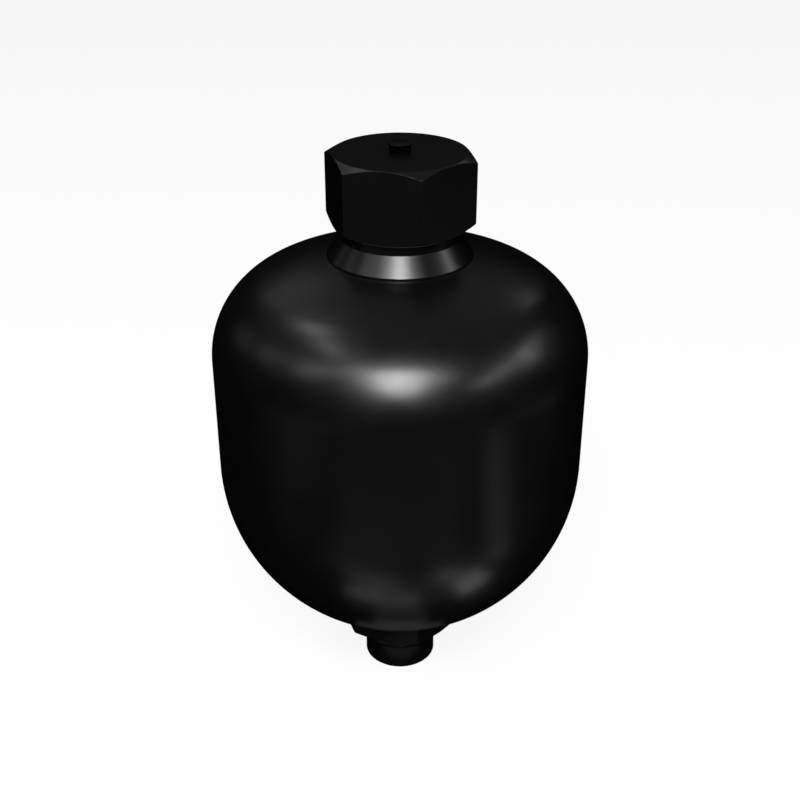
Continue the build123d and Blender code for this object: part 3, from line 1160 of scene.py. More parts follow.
@dataclass
class FluidPort(Assembly):
    """The forged port: hexagon seated on the bowl, collar, spigot and a threaded bore."""

    spigot_radius: float = 12.3
    spigot_length: float = 11.5
    spigot_chamfer: float = 0.6
    groove_depth: float = 0.8
    groove_width: float = 2.5
    collar_radius: float = 14.5
    corner_land: float = 0.15
    thread_radius: float = 7.475
    thread_length: float = 12.0
    thread_chamfer: float = 0.8
    thread_pitch: float = 1.337
    thread_depth: float = 0.85
    passage_radius: float = 5.5
    land_chamfer: float = 0.5
    drill_step: float = 0.03
    edge_rounding: float = 0.25
    groove_rounding: float = 0.12
    bare_rim: float = 0.3
    bare_seat: float = 0.2

    def port(self) -> Piece:
        """Builds the port in one piece.

        Returns:
            The piece.
        """
        s = SIZES
        hexagon = Hexagon(s.port_across_flats, self.corner_land)
        corner = hexagon.corner
        chamfer_z = s.port_hexagon_z + hexagon.fall(corner)
        seat_z = s.bottom_height(corner, s.shell_radius)
        thread_end = self.thread_chamfer + self.thread_length
        land_z = s.port_land_z
        drill_z = thread_end + self.thread_radius - self.passage_radius
        mouth = self.thread_radius + self.thread_chamfer
        major = self.thread_radius + self.thread_depth
        drill = self.thread_radius - self.drill_step
        groove = self.spigot_radius - self.groove_depth
        groove_z = self.spigot_length - self.groove_width
        seat_turn = math.degrees(math.asin(corner / s.shell_radius) - math.asin(s.port_neck_radius / s.shell_radius))

        work = Turning(Facets.FORGING).start(major + RIM_GAP, 0.0)
        work.lines(
            (self.spigot_radius - self.spigot_chamfer, 0.0),
            (self.spigot_radius, self.spigot_chamfer),
            (self.spigot_radius, groove_z),
            (groove, groove_z),
            (groove, self.spigot_length),
            (self.collar_radius, self.spigot_length),
            (self.collar_radius, s.port_hexagon_z),
            (hexagon.face, s.port_hexagon_z),
            (corner, chamfer_z),
            (corner, seat_z),
        )
        work.arc(0.0, s.bottom_centre_z, -seat_turn, parts=4)
        work.lines(
            (s.port_neck_radius, land_z),
            (self.passage_radius + self.land_chamfer, land_z),
            (self.passage_radius, land_z - self.land_chamfer),
            (self.passage_radius, drill_z),
            (drill, thread_end + self.drill_step),
            (drill, thread_end),
        )
        work.turn()
        rows = {
            chamfer_z: lambda reach: s.port_hexagon_z + max(NEAR, hexagon.fall(reach)),
            seat_z: lambda reach: s.bottom_height(reach, s.shell_radius),
        }
        work.press_hexagon(hexagon, rows)
        work.round_rims(
            self.edge_rounding,
            (self.spigot_radius - self.spigot_chamfer, 0.0),
            (self.spigot_radius, self.spigot_chamfer),
            (self.collar_radius, self.spigot_length),
        )
        work.round_rim(self.spigot_radius, groove_z, self.groove_rounding, parts=2)
        thread = Thread(major, self.thread_pitch, self.thread_depth, ThreadSide.INSIDE)
        work.fit_thread(thread, 0.0, thread_end, mouth, self.thread_radius)
        work.second_finish(lambda radius, height: radius < mouth + self.bare_rim or height > seat_z + self.bare_seat)
        return self.place(work, "port_forging", "fluid_port", Slot.VESSEL_PAINT, Body.VESSEL)

    def build(self) -> list[Piece]:
        """Builds the port."""
        return [self.port()]


@dataclass
class GasBoss(Assembly):
    """The turned boss on the crown, with the cone, the neck and the cap's thread."""

    projection: float = 1.0
    chamfer: float = 1.0
    relief_depth: float = 0.9
    thread_chamfer: float = 0.8
    neck_wall: float = 5.5
    passage_radius: float = 5.0
    seal_width: float = 2.0
    seal_height: float = 1.6
    shank_length: float = 12.0
    bore_clearance: float = 0.5
    relief_height: float = 0.55
    mouth_land: float = 0.2
    shoulder_rounding: float = 0.15
    bare_spigot: float = 0.5

    def boss(self) -> Piece:
        """Builds the boss in one piece.

        Returns:
            The piece.
        """
        s = SIZES
        spigot = s.boss_spigot_radius
        bottom_z = s.crown_height(spigot, s.shell_wall) - self.projection
        relief = s.thread_radius - self.relief_depth
        shank = s.thread_radius - self.neck_wall
        groove = shank + self.seal_width
        bore_z = s.neck_top_z - self.shank_length - self.bore_clearance
        thread_z = s.shoulder_z + self.relief_height
        seat_turn = math.degrees(math.asin(s.foot_radius / s.crown_radius) - math.asin(spigot / s.crown_radius))
        mouth = s.thread_radius - self.thread_chamfer
        work = Turning(Facets.FORGING).start(mouth - self.mouth_land, s.neck_top_z)
        work.lines(
            (groove, s.neck_top_z),
            (groove, s.neck_top_z - self.seal_height),
            (shank, s.neck_top_z - self.seal_height),
            (shank, bore_z),
            (self.passage_radius, bore_z),
            (self.passage_radius, bottom_z),
            (spigot - self.chamfer, bottom_z),
            (spigot, bottom_z + self.chamfer),
            (spigot, s.crown_height(spigot)),
        )
        work.arc(0.0, s.crown_centre_z, -seat_turn, parts=4)
        work.lines(
            (s.foot_radius, s.foot_z + s.foot_land),
            (s.neck_radius, s.neck_z),
            (s.neck_radius, s.shoulder_z),
            (relief, s.shoulder_z),
            (relief, thread_z),
        )
        work.turn()
        work.round_rims(BROKEN_EDGE, (s.foot_radius, s.foot_z + s.foot_land), (s.neck_radius, s.neck_z))
        work.round_rim(s.neck_radius, s.shoulder_z, self.shoulder_rounding)
        thread = Thread(s.thread_radius, s.thread_pitch, s.thread_depth)
        work.fit_thread(thread, thread_z, s.neck_top_z, relief + RIM_GAP, mouth)
        work.second_finish(lambda radius, height: height > s.shoulder_z - HAIR or radius < spigot - self.bare_spigot)
        materials = (self.finishes.boss, self.finishes.phosphate)
        return self.place(work, "boss_turned", "gas_boss", Slot.VESSEL_PAINT, Body.VESSEL, materials)

    def build(self) -> list[Piece]:
        """Builds the boss."""
        return [self.boss()]


@dataclass
class ScrewCap(Assembly):
    """The hexagon cap with its washer, and the riveted stud that carries the seal pad inside it."""

    face_inset: float = 0.15
    thread_clearance: float = 0.05
    mouth_chamfer: float = 0.6
    flange_headroom: float = 0.6
    stem_bore: float = 11.5
    washer_bore_clearance: float = 0.3
    shank_radius: float = 2.5
    running_clearance: float = 0.05
    shoulder_radius: float = 3.2
    shoulder_height: float = 2.0
    head_radius: float = 3.7
    head_height: float = 0.6
    head_fillet: float = 0.2
    holder_radius: float = 10.0
    rim_thickness: float = 0.6
    rim_depth: float = 0.8
    pad_clearance: float = 0.2
    thread_relief: float = 2.2
    bare_lip: float = 0.02
    top_rounding: float = 0.18
    bottom_rounding: float = 0.05
    ceiling_rounding: float = 0.6
    washer_rounding: float = 0.2
    head_rounding: float = 0.12
    cup_rounding: float = 0.7
    lip_rounding: float = 0.15

    def cap(self) -> Piece:
        """Builds the hexagon cap, turned to a chamfer at both ends, with its inside thread.

        Returns:
            The piece.
        """
        s = SIZES
        hexagon = Hexagon(s.cap_across_flats, -self.face_inset)
        corner, face = hexagon.corner, hexagon.face
        fall = hexagon.fall(corner)
        bore = s.thread_radius + self.thread_clearance
        mouth = bore + self.mouth_chamfer
        step_z = s.valve_flange_z + self.flange_headroom
        thread_end = step_z - self.thread_relief
        low_row, high_row = s.cap_z + fall, s.cap_top_z - fall
        work = Turning(Facets.FORGING).start(mouth + RIM_GAP, s.cap_z)
        work.lines((face, s.cap_z), (corner, low_row), (corner, high_row), (face, s.cap_top_z))
        work.lines(
            (self.shank_radius + self.running_clearance, s.cap_top_z),
            (self.shank_radius + self.running_clearance, s.cap_ceiling_z),
            (self.stem_bore, s.cap_ceiling_z),
            (self.stem_bore, step_z),
            (bore + RIM_GAP, step_z),
            (bore + RIM_GAP, thread_end),
        )
        work.turn()
        rows = {
            low_row: lambda reach: s.cap_z + hexagon.fall(reach),
            high_row: lambda reach: s.cap_top_z - hexagon.fall(reach),
        }
        work.press_hexagon(hexagon, rows)
        work.round_rim(face, s.cap_top_z, self.top_rounding, parts=2)
        work.round_rim(face, s.cap_z, self.bottom_rounding, parts=2)
        work.round_rim(self.stem_bore, s.cap_ceiling_z, self.ceiling_rounding)
        thread = Thread(bore, s.thread_pitch, s.thread_depth, ThreadSide.INSIDE)
        work.fit_thread(thread, s.cap_z, thread_end, mouth, bore)
        work.second_finish(lambda radius, height: radius < mouth + self.bare_lip and height < s.cap_top_z - HAIR)
        return self.place(work, "cap_hexagon", "valve_cap", Slot.CAP_PAINT, Body.CAP)

    def washer(self) -> Piece:
        """Builds the flat washer between the cap and the neck's shoulder.

        Returns:
            The piece.
        """
        s = SIZES
        bore = s.thread_radius + self.washer_bore_clearance
        work = Turning(Facets.RING).ring(bore, s.neck_radius, s.shoulder_z, s.cap_z)
        work.round_rims(self.washer_rounding, (s.neck_radius, s.shoulder_z), (s.neck_radius, s.cap_z))
        return self.place(work, "cap_gasket", "cap_washer", Slot.RUBBER, Body.VESSEL)

    def stud(self) -> Piece:
        """Builds the stud, whose head stands on the cap and whose shank holds the pad's cup.

        Returns:
            The piece.
        """
        s = SIZES
        seat = s.cap_top_z + self.running_clearance
        head = seat + self.shoulder_height
        top = head + self.head_height
        work = Turning(Facets.DISC).start(0.0, s.pad_top_z)
        work.lines(
            (self.shank_radius, s.pad_top_z),
            (self.shank_radius, seat),
            (self.shoulder_radius, seat),
            (self.shoulder_radius, head),
            (self.head_radius, head),
            (self.head_radius, top),
            (0.0, top),
        )
        work.turn()
        work.round_rim(self.head_radius, top, self.head_fillet, parts=4)
        work.round_rim(self.head_radius, head, self.head_rounding, parts=2)
        # Painted shade: the stud's sides take the darker, dull enamel, and only its top face takes the cap's enamel.
        work.second_finish(lambda radius, height: height > top - HAIR)
        materials = (self.finishes.stud, self.finishes.cap)
        return self.place(work, "cap_rivet", "cap_stud", Slot.CAP_PAINT, Body.CAP_PIVOT, materials)

    def holder(self) -> Piece:
        """Builds the pressed cup that holds the seal pad.

        Returns:
            The piece.
        """
        s = SIZES
        pad = self.holder_radius - self.rim_thickness
        lip_z = s.pad_top_z - self.rim_depth
        work = Turning(Facets.DISC).start(self.shank_radius, s.pad_top_z)
        work.lines(
            (pad, s.pad_top_z),
            (pad, lip_z),
            (self.holder_radius, lip_z),
            (self.holder_radius, s.holder_top_z),
            (self.shank_radius, s.holder_top_z),
        )
        work.close().turn()
        work.round_rim(self.holder_radius, s.holder_top_z, self.cup_rounding, parts=5)
        work.round_rims(self.lip_rounding, (pad, lip_z), (self.holder_radius, lip_z), parts=2)
        return self.place(work, "pad_cup", "cap_pad_holder", Slot.MACHINED_STEEL, Body.CAP_PIVOT)

    def pad(self) -> Piece:
        """Builds the rubber pad that seals the valve's mouth.

        Returns:
            The piece.
        """
        s = SIZES
        radius = self.holder_radius - self.rim_thickness - self.pad_clearance
        work = Turning(Facets.DISC).start(0.0, s.stem_top_z)
        work.lines((radius, s.stem_top_z), (radius, s.pad_top_z), (0.0, s.pad_top_z))
        work.turn()
        work.round_rim(radius, s.stem_top_z)
        return self.place(work, "pad_rubber", "cap_seal_pad", Slot.RUBBER, Body.CAP_PAD)

    def build(self) -> list[Piece]:
        """Builds the cap and what belongs to it."""
        return [self.cap(), self.washer(), self.stud(), self.holder(), self.pad()]


@dataclass
class GasValve(Assembly):
    """The valve insert with its core, pin, spring and seals."""

    shank_radius: float = 11.0
    shank_length: float = 12.0
    flange_corner: float = 15.6
    stem_radius: float = 8.0
    stem_chamfer: float = 0.8
    seal_width: float = 2.0
    seal_height: float = 1.6
    passage_radius: float = 2.0
    core_radius: float = 3.4
    core_recess: float = 1.7
    core_length: float = 8.5
    core_floor: float = 1.5
    core_bore: float = 2.0
    seat_radius: float = 1.3
    groove_depth: float = 0.8
    groove_height: float = 1.2
    groove_rise: float = 2.5
    pin_radius: float = 0.9
    pin_recess: float = 0.8
    pin_travel: float = 1.5
    collar_radius: float = 1.8
    collar_height: float = 0.8
    collar_drop: float = 1.1
    poppet_radius: float = 2.5
    poppet_thickness: float = 2.0
    seat_thickness: float = 1.2
    seat_inset: float = 0.2
    wire_radius: float = 0.2
    wire_gap: float = 0.35
    spring_turns: int = 5
    wire_facets: int = 12
    wire_sharp: float = 60.0
    chamber_clearance: float = 0.5
    stem_relief: float = 0.7
    flange_rounding: float = 0.15
    body_seal_rounding: float = 0.6
    sleeve_rounding: float = 0.15
    core_seal_rounding: float = 0.25
    collar_rounding: float = 0.1

    @property
    def core_top(self) -> float:
        """Height of the core's upper end."""
        return SIZES.stem_top_z - self.core_recess

    @property
    def core_bottom(self) -> float:
        """Height of the core's lower end."""
        return self.core_top - self.core_length

    @property
    def spring_seat(self) -> float:
        """Height of the floor that the spring stands on."""
        return self.core_bottom + self.core_floor

    @property
    def collar_z(self) -> float:
        """Height of the underside of the pin's collar."""
        return self.core_top - self.collar_drop - self.collar_height

    @property
    def poppet_top(self) -> float:
        """Height of the poppet's upper face."""
        return self.core_bottom - self.seat_thickness

    @property
    def chamber_z(self) -> float:
        """Height of the floor under the poppet."""
        return self.poppet_top - self.poppet_thickness - self.pin_travel - self.chamber_clearance

    def body(self) -> Piece:
        """Builds the insert with its shank, hexagon flange and threaded stem.

        Returns:
            The piece.
        """
        s = SIZES
        hexagon = Hexagon(self.flange_corner * math.sqrt(3))
        high_row = s.valve_flange_z - hexagon.fall(self.flange_corner)
        thread_z = s.valve_flange_z + self.stem_relief
        thread = Thread(self.stem_radius, s.thread_pitch, s.thread_depth)
        work = Turning(Facets.RING).start(thread.minor_radius - RIM_GAP, s.stem_top_z)
        work.lines(
            (self.core_radius, s.stem_top_z),
            (self.core_radius, self.chamber_z),
            (self.passage_radius, self.chamber_z),
            (self.passage_radius, s.neck_top_z - self.shank_length),
            (self.shank_radius, s.neck_top_z - self.shank_length),
            (self.shank_radius, s.neck_top_z),
            (self.flange_corner, s.neck_top_z),
            (self.flange_corner, high_row),
            (hexagon.face, s.valve_flange_z),
            (thread.minor_radius - RIM_GAP, s.valve_flange_z),
            (thread.minor_radius - RIM_GAP, thread_z),
        )
        work.turn()
        rows = {
            s.neck_top_z: lambda reach: s.neck_top_z,
            high_row: lambda reach: s.valve_flange_z - max(NEAR, hexagon.fall(reach)),
        }
        work.press_hexagon(hexagon, rows, self.flange_rounding)
        work.round_rim(self.core_radius, s.stem_top_z)
        tip = self.stem_radius - self.stem_chamfer
        work.fit_thread(thread, thread_z, s.stem_top_z, thread.minor_radius + RIM_GAP, tip)
        return self.place(work, "valve_insert", "valve_body", Slot.VALVE_BRASS, Body.VESSEL)

    def body_seal(self) -> Piece:
        """Builds the ring seal under the flange.

        Returns:
            The piece.
        """
        s = SIZES
        low = s.neck_top_z - self.seal_height
        outer = self.shank_radius + self.seal_width
        work = Turning(Facets.RING).ring(self.shank_radius, outer, low, s.neck_top_z)
        corners = [(self.shank_radius, low), (outer, low), (outer, s.neck_top_z), (self.shank_radius, s.neck_top_z)]
        work.round_rims(self.body_seal_rounding, *corners, parts=4)
        return self.place(work, "insert_seal", "valve_body_seal", Slot.RUBBER, Body.VESSEL)

    def core(self) -> Piece:
        """Builds the sleeve of the core with its floor and groove.

        Returns:
            The piece.
        """
        groove_z = self.core_bottom + self.groove_rise
        groove_top = groove_z + self.groove_height
        groove = self.core_radius - self.groove_depth
        work = Turning(Facets.SLEEVE).start(self.seat_radius, self.core_bottom)
        work.lines(
            (self.core_radius, self.core_bottom),
            (self.core_radius, groove_z),
            (groove, groove_z),
            (groove, groove_top),
            (self.core_radius, groove_top),
            (self.core_radius, self.core_top),
            (self.core_bore, self.core_top),
            (self.core_bore, self.spring_seat),
            (self.seat_radius, self.spring_seat),
        )
        work.close().turn()
        rims = [(self.core_radius, self.core_bottom), (self.core_radius, self.core_top)]
        rims.append((self.core_bore, self.core_top))
        work.round_rims(self.sleeve_rounding, *rims, parts=2)
        return self.place(work, "core_sleeve", "core_body", Slot.VALVE_BRASS, Body.VESSEL)

    def core_seal(self) -> Piece:
        """Builds the ring seal round the core.

        Returns:
            The piece.
        """
        low = self.core_bottom + self.groove_rise
        high = low + self.groove_height
        inner = self.core_radius - self.groove_depth
        work = Turning(Facets.SLEEVE).ring(inner, self.core_radius, low, high)
        corners = [(inner, low), (self.core_radius, low), (self.core_radius, high), (inner, high)]
        work.round_rims(self.core_seal_rounding, *corners)
        return self.place(work, "core_ring", "core_seal", Slot.RUBBER, Body.VESSEL)

    def pin(self) -> Piece:
        """Builds the pin with its collar and poppet.

        Returns:
            The piece.
        """
        top = SIZES.stem_top_z - self.pin_recess
        collar_top = self.collar_z + self.collar_height
        bottom = self.poppet_top - self.poppet_thickness
        work = Turning(Facets.PIN).start(0.0, bottom)
        work.lines(
            (self.poppet_radius, bottom),
            (self.poppet_radius, self.poppet_top),
            (self.pin_radius, self.poppet_top),
            (self.pin_radius, self.collar_z),
            (self.collar_radius, self.collar_z),
            (self.collar_radius, collar_top),
            (self.pin_radius, collar_top),
            (self.pin_radius, top),
            (0.0, top),
        )
        work.turn()
        work.round_rims(BROKEN_EDGE, (self.poppet_radius, bottom), (self.pin_radius, top))
        rims = ((self.poppet_radius, self.poppet_top), (self.collar_radius, collar_top))
        work.round_rims(self.collar_rounding, *rims, parts=2)
        return self.place(work, "core_pin", "valve_pin", Slot.VALVE_BRASS, Body.PIN)

    def seat(self) -> Piece:
        """Builds the rubber seat on the poppet.

        Returns:
            The piece.
        """
        outer = self.poppet_radius - self.seat_inset
        work = Turning(Facets.PIN).ring(self.pin_radius, outer, self.poppet_top, self.core_bottom)
        work.round_rim(outer, self.core_bottom)
        return self.place(work, "poppet_ring", "poppet_seal", Slot.RUBBER, Body.PIN)

    def spring(self) -> Piece:
        """Builds the coil spring by spinning its wire with a rise.

        Returns:
            The piece.
        """
        coil = self.pin_radius + self.wire_gap + self.wire_radius
        rise = self.collar_z - self.spring_seat - 2 * self.wire_radius
        spring = Turning(Facets.WIRE)
        work, steps = spring.work, self.spring_turns * spring.segments
        made = bmesh.ops.create_circle(work, cap_ends=True, radius=self.wire_radius, segments=self.wire_facets)
        upright = Matrix.Rotation(math.pi / 2, 3, "X")
        bmesh.ops.rotate(work, verts=made["verts"], cent=(0, 0, 0), matrix=upright)
        bmesh.ops.translate(work, verts=made["verts"], vec=(coil, 0.0, self.spring_seat + self.wire_radius))
        bmesh.ops.spin(
            work,
            geom=work.verts[:] + work.edges[:] + work.faces[:],
            cent=(0, 0, 0),
            axis=(0, 0, 1),
            dvec=(0, 0, rise / steps),
            angle=math.tau * self.spring_turns,
            steps=steps,
        )
        bmesh.ops.remove_doubles(work, verts=work.verts[:], dist=SAME)
        piece = self.place(spring, "core_spring", "valve_spring", Slot.SPRING_WIRE, sharp=self.wire_sharp)
        low, high = self.spring_seat * MM, self.collar_z * MM
        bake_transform(piece)
        return piece

    def build(self) -> list[Piece]:
        """Builds the valve's pieces.

        Returns:
            The pieces.
        """
        return [
            self.body(),
            self.body_seal(),
            self.core(),
            self.core_seal(),
            self.pin(),
            self.seat(),
            self.spring(),
        ]


@dataclass
class Bladder(Assembly):
    """The clamped rubber diaphragm with the button that closes the port."""

    clamp_bottom: float = 92.0
    clamp_top: float = 108.0
    bead_bottom: float = 96.0
    bead_top: float = 104.0
    rebate_radius: float = 56.5
    bead_outer: float = 55.2
    bead_inner: float = 50.5
    hook_depth: float = 1.2
    hoop_thickness: float = 3.0
    bowl_radius: float = 54.7
    thickness: float = 2.5
    hole_radius: float = 3.3
    button_radius: float = 15.5
    button_thickness: float = 3.5
    stud_radius: float = 3.0
    washer_radius: float = 9.0
    washer_thickness: float = 1.5
    nut_across_flats: float = 10.0
    nut_height: float = 5.0
    nut_inset: float = 0.1
    nut_rounding: float = 0.08
    stud_end: float = 1.0
    clamp_rounding: float = 0.4
    bead_rounding: float = 1.0
    plate_rounding: float = 1.0
    seat_rounding: float = 0.4
    bowl_sharp: float = 40.0

    @property
    def button_top(self) -> float:
        """Height of the button plate's upper face."""
        return SIZES.port_land_z + self.button_thickness

    @property
    def floor_z(self) -> float:
        """Height of the upper side of the rubber over the button."""
        return self.button_top + self.thickness

    @property
    def washer_top(self) -> float:
        """Height of the washer's upper face."""
        return self.floor_z + self.washer_thickness

    @property
    def nut_top(self) -> float:
        """Height of the nut's upper face."""
        return self.washer_top + self.nut_height

    def backing(self) -> Piece:
        """Builds the thin hoop between the bead and the weld.

        Returns:
            The piece.
        """
        work = Turning(Facets.FORGING).ring(self.bead_outer, self.rebate_radius, self.clamp_bottom, self.bead_top)
        work.round_rim(self.bead_outer, self.clamp_bottom)
        return self.place(work, "weld_backing", "backing_ring", Slot.MACHINED_STEEL, Body.VESSEL)

    def clamp(self) -> Piece:
        """Builds the clamp ring with its flange and hook.

        Returns:
            The piece.
        """
        hook = self.bead_inner + self.hook_depth
        inner = self.bead_inner - self.hoop_thickness
        work = Turning(Facets.FORGING).start(inner, self.clamp_bottom)
        work.lines(
            (self.bead_inner, self.clamp_bottom),
            (hook, self.clamp_bottom + self.hook_depth),
            (hook, self.bead_bottom),
            (self.bead_inner, self.bead_bottom),
            (self.bead_inner, self.bead_top),
            (self.rebate_radius, self.bead_top),
            (self.rebate_radius, self.clamp_top),
            (inner, self.clamp_top),
        )
        work.close().turn()
        rims = ((inner, self.clamp_bottom), (inner, self.clamp_top), (self.bead_inner, self.clamp_bottom))
        work.round_rims(self.clamp_rounding, *rims)
        return self.place(work, "bead_clamp", "clamp_ring", Slot.MACHINED_STEEL, Body.VESSEL)

    def rubber_bowl(self) -> Piece:
        """Builds the diaphragm, whose floor lies on the button and whose bead sits in the clamp.

        Returns:
            The piece.
        """
        centre = SIZES.bottom_centre_z
        inner = self.bowl_radius - self.thickness
        outer_turn = math.degrees(math.asin((centre - self.button_top) / self.bowl_radius))
        inner_turn = math.degrees(math.asin((centre - self.floor_z) / inner))
        outer_floor = self.bowl_radius * math.cos(math.radians(outer_turn))
        work = Turning(Facets.RING).start(self.hole_radius, self.button_top)
        work.line(outer_floor, self.button_top, parts=3)
        work.arc(0.0, centre, outer_turn, parts=30)
        work.line(self.bowl_radius, self.bead_bottom, parts=4)
        work.lines(
            (self.bead_outer, self.bead_bottom),
            (self.bead_outer, self.bead_top),
            (self.bead_inner, self.bead_top),
            (self.bead_inner, self.bead_bottom),
            (inner, self.bead_bottom),
        )
        work.line(inner, centre, parts=4)
        work.arc(0.0, centre, -inner_turn, parts=30)
        work.line(self.hole_radius, self.floor_z, parts=3)
        work.close().turn()
        rims = ((self.bead_outer, self.bead_top), (self.bead_inner, self.bead_top))
        work.round_rims(self.bead_rounding, *rims, parts=5)
        piece = self.place(work, "rubber_bowl", "diaphragm", Slot.RUBBER, sharp=self.bowl_sharp)
        low, high = self.floor_z * MM, self.bead_bottom * MM
        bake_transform(piece)
        return piece

    def plate(self) -> Piece:
        """Builds the button plate with its stud.

        Returns:
            The piece.
        """
        land = SIZES.port_land_z
        top = self.nut_top + self.stud_end
        work = Turning(Facets.DISC).start(0.0, land)
        work.lines(
            (self.button_radius, land),
            (self.button_radius, self.button_top),
            (self.stud_radius, self.button_top),
            (self.stud_radius, top - self.stud_end / 2),
            (self.stud_radius - self.stud_end / 2, top),
            (0.0, top),
        )
        work.turn()
        work.round_rim(self.button_radius, self.button_top, self.plate_rounding, parts=5)
        work.round_rim(self.button_radius, land, self.seat_rounding)
        return self.place(work, "button_disc", "button_plate", Slot.MACHINED_STEEL, Body.BUTTON)

    def washer(self) -> Piece:
        """Builds the washer on the gas side of the rubber.

        Returns:
            The piece.
        """
        work = Turning(Facets.DISC).ring(self.stud_radius, self.washer_radius, self.floor_z, self.washer_top)
        work.round_rims(BROKEN_EDGE, (self.washer_radius, self.washer_top), (self.washer_radius, self.floor_z))
        return self.place(work, "rubber_washer", "button_washer", Slot.MACHINED_STEEL, Body.BUTTON)

    def nut(self) -> Piece:
        """Builds the nut that clamps the rubber.

        Returns:
            The piece.
        """
        hexagon = Hexagon(self.nut_across_flats, -self.nut_inset)
        corner, face = hexagon.corner, hexagon.face
        low, high = self.washer_top + hexagon.fall(corner), self.nut_top - hexagon.fall(corner)
        work = Turning(Facets.DISC).start(self.stud_radius, self.washer_top)
        work.lines((face, self.washer_top), (corner, low), (corner, high), (face, self.nut_top))
        work.line(self.stud_radius, self.nut_top)
        work.close().turn()
        rows = {
            low: lambda reach: self.washer_top + hexagon.fall(reach),
            high: lambda reach: self.nut_top - hexagon.fall(reach),
        }
        work.press_hexagon(hexagon, rows, self.nut_rounding)
        return self.place(work, "stud_nut", "button_nut", Slot.MACHINED_STEEL, Body.BUTTON)

    def build(self) -> list[Piece]:
        """Builds the diaphragm's pieces."""
        return [self.backing(), self.clamp(), self.rubber_bowl(), self.plate(), self.washer(), self.nut()]


def stand(made: Piece, place: Triple, target: Triple) -> None:
    """Stands a camera or a lamp at a place and turns it to a target.

    Args:
        made: The camera or the lamp.
        place: Where it stands.
        target: What it faces.
    """
    made.location = place
    made.rotation_mode = "QUATERNION"
    made.rotation_quaternion = (Vector(target) - Vector(place)).to_track_quat("-Z", "Y")
    bpy.context.scene.collection.objects.link(made)


@dataclass(frozen=True)
class Softbox:
    """A rectangular lamp, given by where it stands, what it faces and how bright its face is."""

    name: str
    place: Triple
    size: Pair
    radiance: float
    target: Triple = (0.0, 0.0, MIDDLE)

    @classmethod
    def overhead(cls, name: str, across: Pair, along: Pair, radiance: float, height: float = 1.25) -> "Softbox":
        """Hangs a level panel that faces down.

        Args:
            name: Name of the lamp.
            across: Where it begins and ends from left to right.
            along: Where it begins and ends from front to back.
            radiance: Brightness of its face.
            height: Height over the floor.

        Returns:
            The lamp.
        """
        x, y = sum(across) / 2, sum(along) / 2
        return cls(name, (x, y, height), (across[1] - across[0], along[1] - along[0]), radiance, (x, y, 0.0))

    @classmethod
    def bounce(cls, name: str, centre: Pair, size: Pair, radiance: float) -> "Softbox":
        """Lays a faint patch on the floor that shines up at the object.

        Args:
            name: Name of the lamp.
            centre: Where its middle lies.
            size: Its width and depth.
            radiance: Brightness of its face.

        Returns:
            The lamp.
        """
        return cls(name, (*centre, PATCH_HEIGHT), size, radiance, (*centre, 1.0))

    @classmethod
    def towards(cls, name: str, azimuth: float, elevation: float, side: float, radiance: float) -> "Softbox":
        """Stands a square lamp in a direction from the object, which it faces.

        Args:
            name: Name of the lamp.
            azimuth: Degrees from the front towards the right.
            elevation: Degrees above the floor.
            side: Width and height of its face.
            radiance: Brightness of its face.

        Returns:
            The lamp.
        """
        turn, rise = math.radians(azimuth), math.radians(elevation)
        away = LAMP_DISTANCE * math.cos(rise)
        height = LAMP_DISTANCE * math.sin(rise) + MIDDLE
        return cls(name, (away * math.sin(turn), -away * math.cos(turn), height), (side, side), radiance)

    def build(self) -> Piece:
        """Builds the lamp.

        Returns:
            The lamp.
        """
        lamp = bpy.data.lights.new(self.name, "AREA")
        lamp.shape = "RECTANGLE"
        lamp.size, lamp.size_y = self.size
        lamp.energy = self.radiance * LAMP_POWER * self.size[0] * self.size[1]
        made = bpy.data.objects.new(self.name, lamp)
        stand(made, self.place, self.target)
        made.visible_camera = False
        return made


